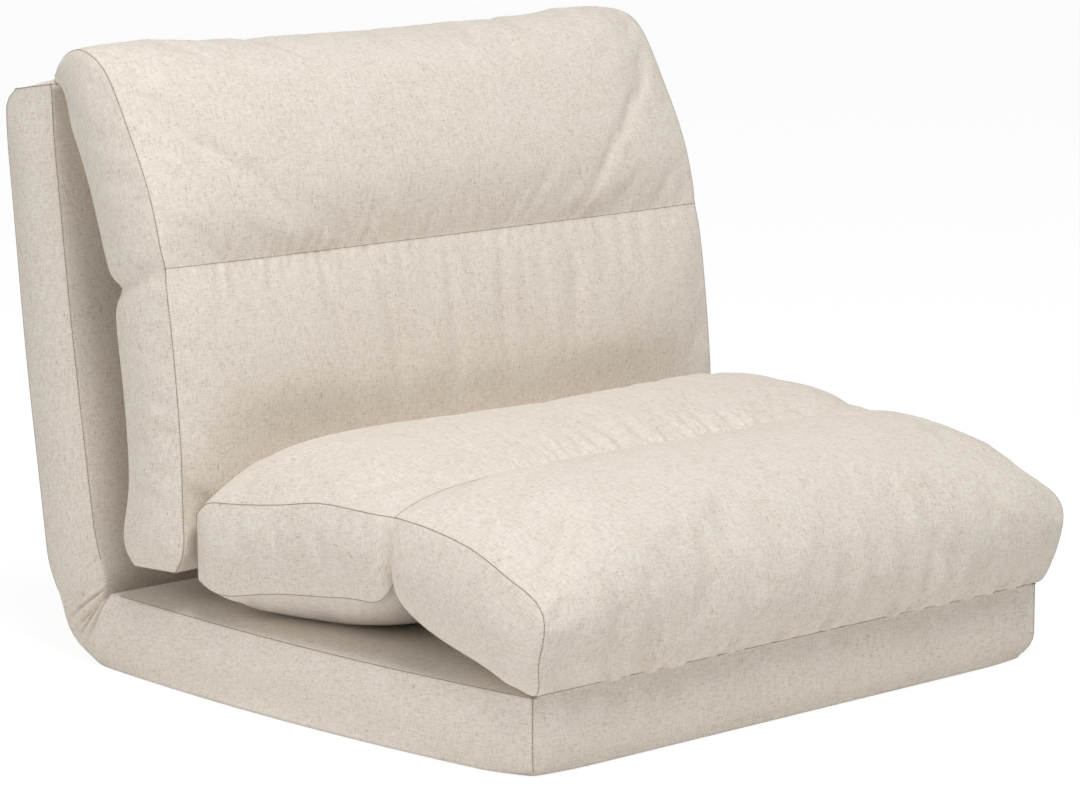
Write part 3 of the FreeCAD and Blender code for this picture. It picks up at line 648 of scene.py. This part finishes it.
# The seat's belly rests on the base, and the seat's rear end meets the back cushion.
points = mesh_points(seat["piece"].data)
points[:, 2] = np.maximum(points[:, 2], SEAT_SEAM.z + 1.5 * MM * (points[:, 1] > SEAT_SEAM.y + 20 * MM))
points[:, 1] = np.minimum(points[:, 1], seat_zip_low.y + 0.3 * MM)
set_points(seat["piece"].data, points)
points = mesh_points(back["piece"].data)
beside_seat = np.clip((SEAT_FOLD.z + 90 * MM - points[:, 2]) / (80 * MM), 0, 1)
over = np.maximum(seat_zip_low.y + 1.0 * MM - points[:, 1], 0)
points[:, 1] += over * beside_seat * beside_seat * (3 - 2 * beside_seat)
set_points(back["piece"].data, points)

for cushion in (seat, back):
    add_subdivision(cushion["piece"], cushion["seams"].values())


def on_seat_front(points):
    """Where the seat's front folds may show."""
    return np.clip((-318 * MM - points[:, 1]) / (30 * MM), 0, 1) * (points[:, 2] > 86 * MM)


def on_seat_top(points):
    """Where the seat's gathers may show."""
    return (points[:, 2] > 200 * MM) * np.clip((385 * MM - np.abs(points[:, 0])) / (20 * MM), 0, 1)


def on_back_front(points):
    """Where the back cushion's gathers may show."""
    return (points[:, 1] < 235 * MM) * np.clip((385 * MM - np.abs(points[:, 0])) / (20 * MM), 0, 1)


seat_start = seat["seams"]["start_upper"]
seat_fold_seam = seat["seams"]["fold_upper"]
back_fold_seam = back["seams"]["fold_upper"]
long_folds = spread_places(-350, 372, 34, 11)
gather(seat["piece"], seat_start, long_folds, (7, 12), (60, 135), (3.6, 7.0), on_seat_front, 21)
short_folds = spread_places(-372, 374, 13, 12)
gather(seat["piece"], seat_start, short_folds, (3.6, 5.4), (18, 44), (1.5, 3.4), on_seat_front, 22)
top_gathers = spread_places(-190, 160, 10.5, 13)
gather(seat["piece"], seat_fold_seam, top_gathers, (3.6, 5.4), (24, 56), (1.8, 3.8), on_seat_top, 23)
sparse_gathers = spread_places(-360, 360, 42, 14)
gather(seat["piece"], seat_fold_seam, sparse_gathers, (4, 7), (20, 40), (0.5, 1.4), on_seat_top, 24)
back_gathers = spread_places(-340, -120, 10, 15)
gather(back["piece"], back_fold_seam, back_gathers, (3.2, 4.8), (18, 38), (1.4, 3.0), on_back_front, 25)
sparse_gathers = spread_places(-120, 375, 26, 16)
gather(back["piece"], back_fold_seam, sparse_gathers, (3.5, 6.0), (16, 40), (0.5, 1.5), on_back_front, 26)


# Panels. One continuous cover wraps the base and the back: its length runs from the base's front end round
# the hinge corner to the top of the back, between an inner line (the sitting side) and an outer one.


def smooth_step(value):
    """Ease from 0 to 1 as the value goes from 0 to 1."""
    t = np.clip(value, 0, 1)
    return t * t * (3 - 2 * t)


def panel_stations():
    """Inner and outer points in the (y, z) plane of each cross-section, and its place in its own part."""
    rear = HINGE + OUT_BACK * (back_thickness / 2)
    reach = 12 * MM
    round_start = 0.335
    corner = [(0.3675, 0.0092), (0.387, 0.0195), (0.4015, 0.0335), (0.410, 0.050)]
    rise = [(corner[-1]), (0.4148, 0.070), (0.4195, 0.1005)]
    base_steps = round((CREASE.y - base_front) / panel_step)
    back_steps = round(back_length / panel_step)
    inner, outer, part, share = [], [], [], []
    line = smooth_line([(round_start, 0.0), (0.352, 0.0028), corner[0]], np.linspace(0, 1, 40))
    line = np.concatenate([np.linspace((base_front, 0.0), (round_start, 0.0), 100)[:-1], line])
    along = runs_along(line)
    for k in range(base_steps):
        t = k / base_steps
        inner.append((base_front + (CREASE.y - reach - base_front) * t, base_top))
        outer.append([np.interp(t * along[-1], along, line[:, n]) for n in range(2)])
        part.append("base")
        share.append(t)
    corner_line = smooth_line(corner, np.linspace(0, 1, fan_steps + 1))
    climb = CREASE + UP_BACK * reach
    fold = np.array((CREASE.y + 2 * MM, CREASE.z - 13 * MM))
    first = np.array((CREASE.y - reach, base_top))
    last = np.array((climb.y, climb.z))
    for k in range(fan_steps + 1):
        t = k / fan_steps
        near = first + (fold - first) * (t / 0.5) if t < 0.5 else fold + (last - fold) * ((t - 0.5) / 0.5)
        inner.append(near)
        outer.append(corner_line[k])
        part.append("fan")
        share.append(t)
    far_end = rear + UP_BACK * (back_length + crease_reach)
    line = smooth_line(rise, np.linspace(0, 1, 40))
    line = np.concatenate([line[:-1], np.linspace(rise[-1], (far_end.y, far_end.z), 200)])
    along = runs_along(line)
    for k in range(1, back_steps + 1):
        t = k / back_steps
        near = CREASE + UP_BACK * (reach + (back_length - reach) * t)
        inner.append((near.y, near.z))
        outer.append([np.interp(t * along[-1], along, line[:, n]) for n in range(2)])
        part.append("back")
        share.append(t)
    return np.array(inner), np.array(outer), np.array(part), np.array(share)


def make_panel_cover():
    """The sewn cover of both panels, bulging between its seams and gathered at the hinge corner."""
    inner, outer, part, share = panel_stations()
    na = len(inner) - 1
    nb = panel_columns
    nc = gusset_steps
    keys, quads, sides, index = box_grid(na, nb, nc)
    a = keys[:, 0]
    share_b = 2 * keys[:, 1] / nb - 1
    share_c = keys[:, 2] / nc
    across = inner - outer
    thick = np.linalg.norm(across, axis=1)
    across /= thick[:, None]
    middle_line = (inner + outer) / 2
    run = runs_along(middle_line)
    on_base = (part == "base")[a]
    on_fan = (part == "fan")[a]
    on_back = (part == "back")[a]
    t = share[a]
    swelling = np.where(on_fan, 0, np.sin(np.pi * t) ** 0.7)
    swelling = np.where(on_back, smooth_step(t / 0.12) * (1 - 0.55 * smooth_step((t - 0.4) / 0.6)), swelling)
    # the side seams bow out and the gussets belly between them, lower down on the base
    half = panel_half + 6 * MM * swelling * np.where(on_back, smooth_step((1 - t) / 0.12), 1)
    x = share_b * half
    on_side = np.abs(share_b) > 0.999
    belly = np.where(on_base, np.sin(np.pi * share_c**0.75), 1 - (2 * share_c - 1) ** 2)
    from_front = run[a] - run[0]
    to_top = run[-1] - run[a]
    fade = smooth_step(from_front / (110 * MM)) * smooth_step(to_top / (80 * MM))
    fade *= np.where(on_fan, 0.5, 1.0)
    x = x + np.sign(share_b) * on_side * 10 * MM * belly * fade
    # sitting faces are crowned between their seams
    inset = np.clip((half - np.abs(x)) / (70 * MM), 0, 1)
    crown = 1 - (1 - inset) ** 2.5
    outer_side = share_c < 0.001
    place = outer[a] + (inner - outer)[a] * share_c[:, None]
    seam_drop = np.where(on_base, 4.5 * MM * np.sin(np.pi * t), 2 * MM * np.sin(np.pi * t))
    face_rise = 3 * MM * crown - seam_drop * (1 - crown)
    place += across[a] * (face_rise * (share_c**3) * ~on_fan)[:, None]
    # the back's outer face bellies rearwards, apart from the strip that its zip lies in
    along_back = t * back_length
    zip_strip = smooth_step((75 * MM - np.abs(along_back - 76 * MM)) / (50 * MM))
    zip_strip *= smooth_step((335 * MM - np.abs(x)) / (70 * MM))
    outer_belly = 9 * MM * swelling * on_back * (1 - zip_strip) * (1 - share_c) ** 2
    place -= across[a] * outer_belly[:, None]
    # the top's rear edge is round
    to_end = np.clip(24 * MM - to_top, 0, 24 * MM)
    turn_in = 24 * MM - np.sqrt(np.maximum((24 * MM) ** 2 - to_end**2, 0))
    place += across[a] * (turn_in * on_back * (1 - share_c) ** 2 * 0.9)[:, None]
    # the top end is full
    top_end = a == na
    full = np.sin(np.pi * share_c**1.3) * (1 - np.abs(share_b) ** 10)
    place[:, 0] += top_end * UP_BACK.y * 10 * MM * full
    place[:, 1] += top_end * UP_BACK.z * 10 * MM * full
    front_end = a == 0
    place[:, 0] -= front_end * 3 * MM * np.sin(np.pi * share_c) * (1 - np.abs(share_b) ** 8)
    # the base's lower edge is drawn in at the front corners and bows out along the sides
    low = np.clip(1 - share_c / 0.34, 0, 1) ** 2 * on_base
    near_front = np.clip(1 - (place[:, 0] - base_front) / (70 * MM), 0, 1) ** 2
    near_side = np.clip(1 - (half - np.abs(x)) / (80 * MM), 0, 1) ** 2
    bow = 18 * swelling * (1 - near_front)
    x = x - np.sign(share_b) * low * (3 + 9 * near_front - bow) * MM * np.abs(share_b)
    place[:, 0] += low * (3 + 8 * near_side) * MM * np.clip(1 - (place[:, 0] - base_front) / (60 * MM), 0, 1)
    # a groove at the lower seam, one layer above the floor
    seam_layer = (keys[:, 2] == 1) & on_base
    x = x - np.sign(share_b) * (seam_layer & on_side) * 1.2 * MM
    place[:, 0] += (seam_layer & front_end) * 1.2 * MM
    # pleats fan out from the end of the crease over the corner
    bend = t + 0.02 * np.sin(t * 15) + 0.13 * np.sin(np.pi * share_c) * (1 - t)
    ridge = np.abs(np.sin(np.pi * pleats * bend)) ** 0.75
    deep = np.sin(np.pi * np.clip(t * 1.04, 0, 1)) ** 0.35
    reach_c = np.sin(np.pi * share_c * 0.82) ** 0.8 * deep * on_fan
    uneven = 0.75 + 0.25 * np.sin(9 * t + 1)
    side_way = on_side * 12 * MM * (ridge - 0.5) * reach_c * uneven
    x = x + np.sign(share_b) * side_way
    near_edge = np.exp(-(((half - np.abs(x)) / (45 * MM)) ** 2))
    round_way = outer_side * 0.6 * MM * (ridge - 0.6) * deep * on_fan * (0.25 + 0.75 * near_edge)
    place -= across[a] * round_way[:, None]
    place[:, 1] = np.maximum(place[:, 1], 0.4 * MM)
    points = np.stack([x, place[:, 0], place[:, 1]], axis=1)
    cuts = {"upper": 11.0, "lower": 13.0, "left": 15.0, "right": 17.0, "start": 19.0, "end": 19.0}
    uvs = weave_map(keys, quads, sides, 2 * panel_half, np.full(na + 1, base_top), run, cuts)
    piece = build_mesh("panel_cover", points, quads, uvs, woven_cloth)
    base_last = int(np.nonzero(part == "base")[0][-1])
    back_first = int(np.nonzero(part == "back")[0][0])
    stitched = {}
    for side_name, kb in (("left", 0), ("right", nb)):
        stitched[f"{side_name}_base"] = [index[(k, kb, nc)] for k in range(base_last)]
        stitched[f"{side_name}_back"] = [index[(k, kb, nc)] for k in range(back_first + 2, na + 1)]
        stitched[f"{side_name}_rear"] = [index[(k, kb, 0)] for k in range(back_first + 2, na + 1)]
        stitched[f"{side_name}_low"] = [index[(k, kb, 1)] for k in range(base_last)]
        stitched[f"{side_name}_front"] = [index[(0, kb, k)] for k in range(1, nc + 1)]
        stitched[f"{side_name}_top"] = [index[(na, kb, k)] for k in range(nc + 1)]
    stitched["front_low"] = [index[(0, k, 1)] for k in range(nb + 1)]
    stitched["front_edge"] = [index[(0, k, nc)] for k in range(nb + 1)]
    stitched["top_front"] = [index[(na, k, nc)] for k in range(nb + 1)]
    stitched["top_rear"] = [index[(na, k, 0)] for k in range(nb + 1)]
    folded = list(stitched.values())
    for kb in (0, nb):
        folded.append([index[(k, kb, nc)] for k in range(na + 1)])
        folded.append([index[(k, kb, 0)] for k in range(na + 1)])
    folded.append([index[(0, k, 0)] for k in range(nb + 1)])
    add_subdivision(piece, folded)
    return piece, stitched


panel_cover, panel_seams = make_panel_cover()


# Stitches along the seams


def laying_tree(name, sockets, make_item):
    """Geometry nodes that lay one small item after another along a line."""
    tree = bpy.data.node_groups.new(name, "GeometryNodeTree")
    for title, kind, value in sockets:
        socket = tree.interface.new_socket(title, in_out="INPUT", socket_type="NodeSocket" + kind)
        if value is not None:
            socket.default_value = value
    tree.interface.new_socket("Geometry", in_out="OUTPUT", socket_type="NodeSocketGeometry")
    start = add(tree, "NodeGroupInput")
    spaced = add(
        tree,
        "GeometryNodeResampleCurve",
        {"mode": "LENGTH"},
        links={"Curve": start.outputs["Geometry"], "Length": start.outputs["Pitch"]},
    )
    item, item_links = make_item(tree, start)
    laid = add(
        tree,
        "GeometryNodeInstanceOnPoints",
        links={"Points": spaced.outputs["Curve"], "Instance": item.outputs["Mesh"], **item_links},
    )
    real = add(tree, "GeometryNodeRealizeInstances", links={"Geometry": laid.outputs["Instances"]})
    painted = add(
        tree,
        "GeometryNodeSetMaterial",
        links={"Geometry": real.outputs["Geometry"], "Material": start.outputs["Material"]},
    )
    add(tree, "NodeGroupOutput", links={"Geometry": painted.outputs["Geometry"]})
    return tree


def one_stitch(tree, start):
    """A short thread that lies along the line."""
    tangent = add(tree, "GeometryNodeInputTangent")
    along = {"Vector": tangent.outputs["Tangent"]}
    turn = add(tree, "FunctionNodeAlignRotationToVector", {"axis": "Z"}, links=along)
    thread = add(
        tree,
        "GeometryNodeMeshCylinder",
        inputs={"Vertices": 5},
        links={"Radius": start.outputs["Thread Radius"], "Depth": start.outputs["Stitch Length"]},
    )
    return thread, {"Rotation": turn.outputs["Rotation"]}


def one_tooth(tree, start):
    """A small rounded coil tooth."""
    ball = add(tree, "GeometryNodeMeshIcoSphere", {}, {"Radius": 1.0, "Subdivisions": 1})
    return ball, {"Scale": start.outputs["Tooth Size"]}


stitch_sockets = [
    ("Geometry", "Geometry", None),
    ("Pitch", "Float", 3.4 * MM),
    ("Stitch Length", "Float", 2.7 * MM),
    ("Thread Radius", "Float", 0.45 * MM),
    ("Material", "Material", None),
]
tooth_sockets = [
    ("Geometry", "Geometry", None),
    ("Pitch", "Float", 2.0 * MM),
    ("Tooth Size", "Vector", None),
    ("Material", "Material", None),
]
stitches = laying_tree("stitches", stitch_sockets, one_stitch)
teeth = laying_tree("zip_teeth", tooth_sockets, one_tooth)


def lay_along(name, lines, tree, values):
    """A tree's items along lines of points, as one plain mesh."""
    curve = bpy.data.curves.new(name, "CURVE")
    curve.dimensions = "3D"
    for line in lines:
        spline = curve.splines.new("POLY")
        spline.points.add(len(line) - 1)
        for point, place in zip(spline.points, line):
            point.co = (*place, 1)
    holder = place_piece(name + "_line", curve)
    modifier = holder.modifiers.new("lay", "NODES")
    modifier.node_group = tree
    inputs = {item.name: item.identifier for item in tree.interface.items_tree if item.in_out == "INPUT"}
    for title, value in values.items():
        modifier[inputs[title]] = value
    graph = bpy.context.evaluated_depsgraph_get()
    mesh = bpy.data.meshes.new_from_object(holder.evaluated_get(graph), depsgraph=graph)
    mesh.name = name
    bpy.data.objects.remove(holder)
    return place_piece(name, mesh)


def sew(name, lines):
    """Stitches along lines of points."""
    piece = lay_along(name, lines, stitches, {"Material": thread_with_painted_seam_shade})
    return piece


def seam_points(piece, line):
    """Places of a seam's vertices in the finished mesh."""
    points = mesh_points(piece.data)
    return points[line]


# Welts and zips


def cloth_tube(name, line, radius, around=8):
    """A thin rolled strip of cloth along a line, closed at its ends."""
    line = np.asarray(line, float)
    ahead = np.gradient(line, axis=0)
    ahead /= np.linalg.norm(ahead, axis=1)[:, None]
    side = np.cross(ahead, (0.0, 0.3, 1.0))
    side /= np.linalg.norm(side, axis=1)[:, None]
    over = np.cross(side, ahead)
    angles = np.arange(around) / around * 2 * math.pi
    rings = [line + radius * (math.cos(t) * side + math.sin(t) * over) for t in angles]
    points = np.concatenate([np.stack(rings, axis=1).reshape(-1, 3), line[:1], line[-1:]])
    last = len(line) - 1
    quads, uvs = [], []
    run = runs_along(line)
    for k in range(last):
        for n in range(around):
            m = (n + 1) % around
            quads.append([k * around + n, (k + 1) * around + n, (k + 1) * around + m, k * around + m])
            for far, turn in ((0, n), (1, n), (1, n + 1), (0, n + 1)):
                uvs.append((turn / around * 2 * math.pi * radius, run[k + far]))
    for n in range(around):
        m = (n + 1) % around
        quads.append([len(points) - 2, n, m])
        quads.append([len(points) - 1, last * around + m, last * around + n])
        uvs += [(0, 0)] * 6
    return build_mesh(name, points, quads, uvs, woven_cloth)


def make_zip(node, outward, body):
    """A coil zip in place of its plain solid: two tapes and a closed row of teeth."""
    low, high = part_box(node)
    up = Vector((0, -outward.z, outward.y))
    centre = (low + high) / 2
    half_long = (high.x - low.x) / 2
    verts, faces = [], []
    for side in (-1, 1):
        profile = [(0.6, -1.1), (0.6, 0.1), (2.6, 0.5), (5.0, 0.2), (9.0, 0.1), (12.6, -0.1), (12.6, -1.1)]
        columns = 60
        first = len(verts)
        for k in range(columns + 1):
            x = -half_long + 2 * half_long * k / columns
            for across, height in profile:
                ripple = 0.12 * math.sin(k * 0.9 + side) * across / 12.6
                spot = centre + up * (side * across * MM) + outward * ((height + ripple) * MM)
                verts.append((x, spot.y, spot.z))
        count = len(profile)
        for k in range(columns):
            for n in range(count):
                m = (n + 1) % count
                a = first + k * count
                faces.append([a + n, a + m, a + count + m, a + count + n])
        faces.append([first + n for n in range(count)])
        faces.append([first + columns * count + n for n in range(count)])
    mesh = bpy.data.meshes.new(node + "_tapes")
    mesh.from_pydata(verts, [], faces)
    turn_outwards(mesh)
    mesh.materials.append(knitted_tape)
    tapes = place_piece(node + "_tapes", mesh)
    lines = []
    for side in (-1, 1):
        spot = centre + up * (side * 0.9 * MM) + outward * (0.7 * MM)
        shift = side * 0.5 * MM
        ends = (-half_long + 2 * MM + shift, half_long - 2 * MM + shift)
        lines.append([(x, spot.y, spot.z) for x in ends])
    tooth_size = (0.75 * MM, 1.3 * MM, 1.3 * MM)
    coil = lay_along(node + "_teeth", lines, teeth, {"Material": nylon_coil, "Tooth Size": tooth_size})
    for piece in (tapes, coil):
        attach(piece, body)
    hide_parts(node)


make_zip("panel_zip", OUT_BACK, "back")
make_zip("back_cushion_zip", Vector((0, 1, 0)), "back_lower")
make_zip("seat_cushion_zip", Vector((0, 1, 0)), "seat_rear")

# Rolled seam allowances that the cushions are sewn to
across_x = np.linspace(-0.374, 0.374, 60)
seat_welt_line = np.stack([across_x, across_x * 0 - 334.6 * MM, across_x * 0 + 83.2 * MM], axis=1)
seat_welt = cloth_tube("seat_seam_welt", seat_welt_line, 1.5 * MM)
back_edge = CREASE + UP_BACK * (back_length + 2 * MM)
back_welt_line = np.stack(
    [across_x, across_x * 0 + back_edge.y - 1 * MM, across_x * 0 + back_edge.z], axis=1
)
back_welt = cloth_tube("back_seam_welt", back_welt_line, 2.0 * MM)
for piece, body, node in ((seat_welt, "base", "seat_piping"), (back_welt, "back", "back_piping")):
    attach(piece, body)
    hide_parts(node)


# Stitches, replaced nodes and finishes


def fold_blend(cushion):
    """Stitches along a cushion's seams, apart from its lower fold and start seams, with the cover's and the
    stitches' placement baked into their meshes.
    """
    lines = []
    for seam_name, line in cushion["seams"].items():
        if seam_name not in ("fold_lower", "start_lower"):
            lines.append(seam_points(cushion["piece"], line))
    thread = sew(cushion["piece"].name.replace("cushion", "stitching"), lines)
    for piece in (cushion["piece"], thread):
        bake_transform(piece)


fold_blend(seat)
fold_blend(back)
seat_nodes = ["seat_front_cover", "seat_front_foam", "seat_rear_cover", "seat_rear_foam"]
seat_nodes += ["seat_channel_tape"]
back_nodes = ["back_upper_cover", "back_upper_foam", "back_lower_cover", "back_lower_foam"]
back_nodes += ["back_channel_tape"]
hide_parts(*seat_nodes)
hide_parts(*back_nodes)

# The groove round the base's foot has no visible stitches.
shown = [line for seam, line in panel_seams.items() if not seam.endswith("low")]
lines = [seam_points(panel_cover, line) for line in shown]
panel_thread = sew("panel_stitching", lines)
for piece in (panel_cover, panel_thread):
    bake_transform(piece)
panel_nodes = ["base_cover", "back_cover", "corner_cloth", "crease_cloth"]
panel_nodes += ["base_inner_foam", "base_outer_foam", "back_inner_foam", "back_outer_foam"]
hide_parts(*panel_nodes)

# Finishes of the construction that the frame carries
finish_words = (
    ("foam", cut_foam),
    ("underside", spunbond_cloth),
    ("rivet", rivet_steel),
    ("pin", rivet_steel),
    ("cheek", zinc_plate),
    ("leaf", zinc_plate),
    ("pawl", zinc_plate),
    ("plugs", moulded_plastic),
    ("_tube", powder_coat),
    ("slider", plated_zinc),
)
for node_name, node in frame["nodes"].items():
    for word, material in finish_words:
        if word in node_name:
            node.data.materials.clear()
            node.data.materials.append(material)
            break

# Floor, light and camera


def seen_by_camera(tree):
    """1 for a ray from the camera or from a shiny surface, else 0."""
    rays = add(tree, "ShaderNodeLightPath")
    seen = add(
        tree,
        "ShaderNodeMath",
        {"operation": "MAXIMUM"},
        links={0: rays.outputs["Is Camera Ray"], 1: rays.outputs["Is Glossy Ray"]},
    )
    return seen.outputs[0]


def make_floor():
    """Plain white floor that keeps the chair's shadow."""
    mesh = bpy.data.meshes.new("floor")
    reach = 30.0
    corners = [(-reach, -reach, -0.6 * MM), (reach, -reach, -0.6 * MM), (reach, reach, -0.6 * MM)]
    corners.append((-reach, reach, -0.6 * MM))
    mesh.from_pydata(corners, [], [(0, 1, 2, 3)])
    floor = place_piece("floor", mesh)
    material, tree = new_material("studio_floor")
    seen = seen_by_camera(tree)
    share = add(
        tree, "ShaderNodeMath", {"operation": "MULTIPLY"}, inputs={1: 0.8}, links={0: seen}
    )
    matt = add(tree, "ShaderNodeBsdfDiffuse", inputs={"Color": linear("#F4F3F1")})
    glow = add(tree, "ShaderNodeEmission", inputs={"Color": (1, 1, 1, 1), "Strength": 1.12})
    mixed = add(
        tree,
        "ShaderNodeMixShader",
        links={0: share.outputs[0], 1: matt.outputs["BSDF"], 2: glow.outputs["Emission"]},
    )
    add(tree, "ShaderNodeOutputMaterial", links={"Surface": mixed.outputs["Shader"]})
    mesh.materials.append(material)


def make_world():
    """Even white studio surroundings."""
    world = bpy.data.worlds.new("studio")
    world.use_nodes = True
    tree = world.node_tree
    tree.nodes.clear()
    seen = seen_by_camera(tree)
    strength = add(
        tree,
        "ShaderNodeMix",
        {"data_type": "FLOAT"},
        {"A": 0.385, "B": 1.0},
        {"Factor": seen},
    )
    light = add(
        tree, "ShaderNodeBackground", inputs={"Color": (1, 1, 1, 1)}, links={"Strength": strength.outputs[0]}
    )
    add(tree, "ShaderNodeOutputWorld", links={"Surface": light.outputs["Background"]})
    bpy.context.scene.world = world


def make_lamp(name, place, target, size, power):
    """A soft square lamp that points at the chair."""
    data = bpy.data.lights.new(name, "AREA")
    data.size = size
    data.energy = power
    lamp = place_piece(name, data)
    lamp.location = place
    lamp.rotation_euler = (Vector(target) - Vector(place)).to_track_quat("-Z", "Y").to_euler()


def make_camera():
    """Camera at the photograph's place, solved from the base panel's corners."""
    azimuth = math.radians(-43.77)
    elevation = math.radians(9.72)
    distance = 4.563
    target = Vector((-82.5 * MM, -35 * MM, 312.2 * MM))
    focal_share = 4300 / 1080
    back = Vector(
        (
            math.sin(azimuth) * math.cos(elevation),
            -math.cos(azimuth) * math.cos(elevation),
            math.sin(elevation),
        )
    )
    data = bpy.data.cameras.new("camera")
    data.sensor_width = 36.0
    data.lens = focal_share * data.sensor_width
    data.clip_start = 0.1
    data.clip_end = 100.0
    camera = place_piece("camera", data)
    camera.location = target + back * distance
    camera.rotation_mode = "QUATERNION"
    camera.rotation_quaternion = (-back).to_track_quat("-Z", "Y")
    bpy.context.scene.camera = camera


make_floor()
make_world()
make_lamp("key_light", (-0.8, -1.6, 3.8), (0, 0, 0.3), 1.7, 93)
make_lamp("side_light", (-3.4, 0.3, 1.7), (0, 0, 0.3), 1.8, 19)
make_camera()
bpy.context.scene.view_settings.view_transform = "Standard"
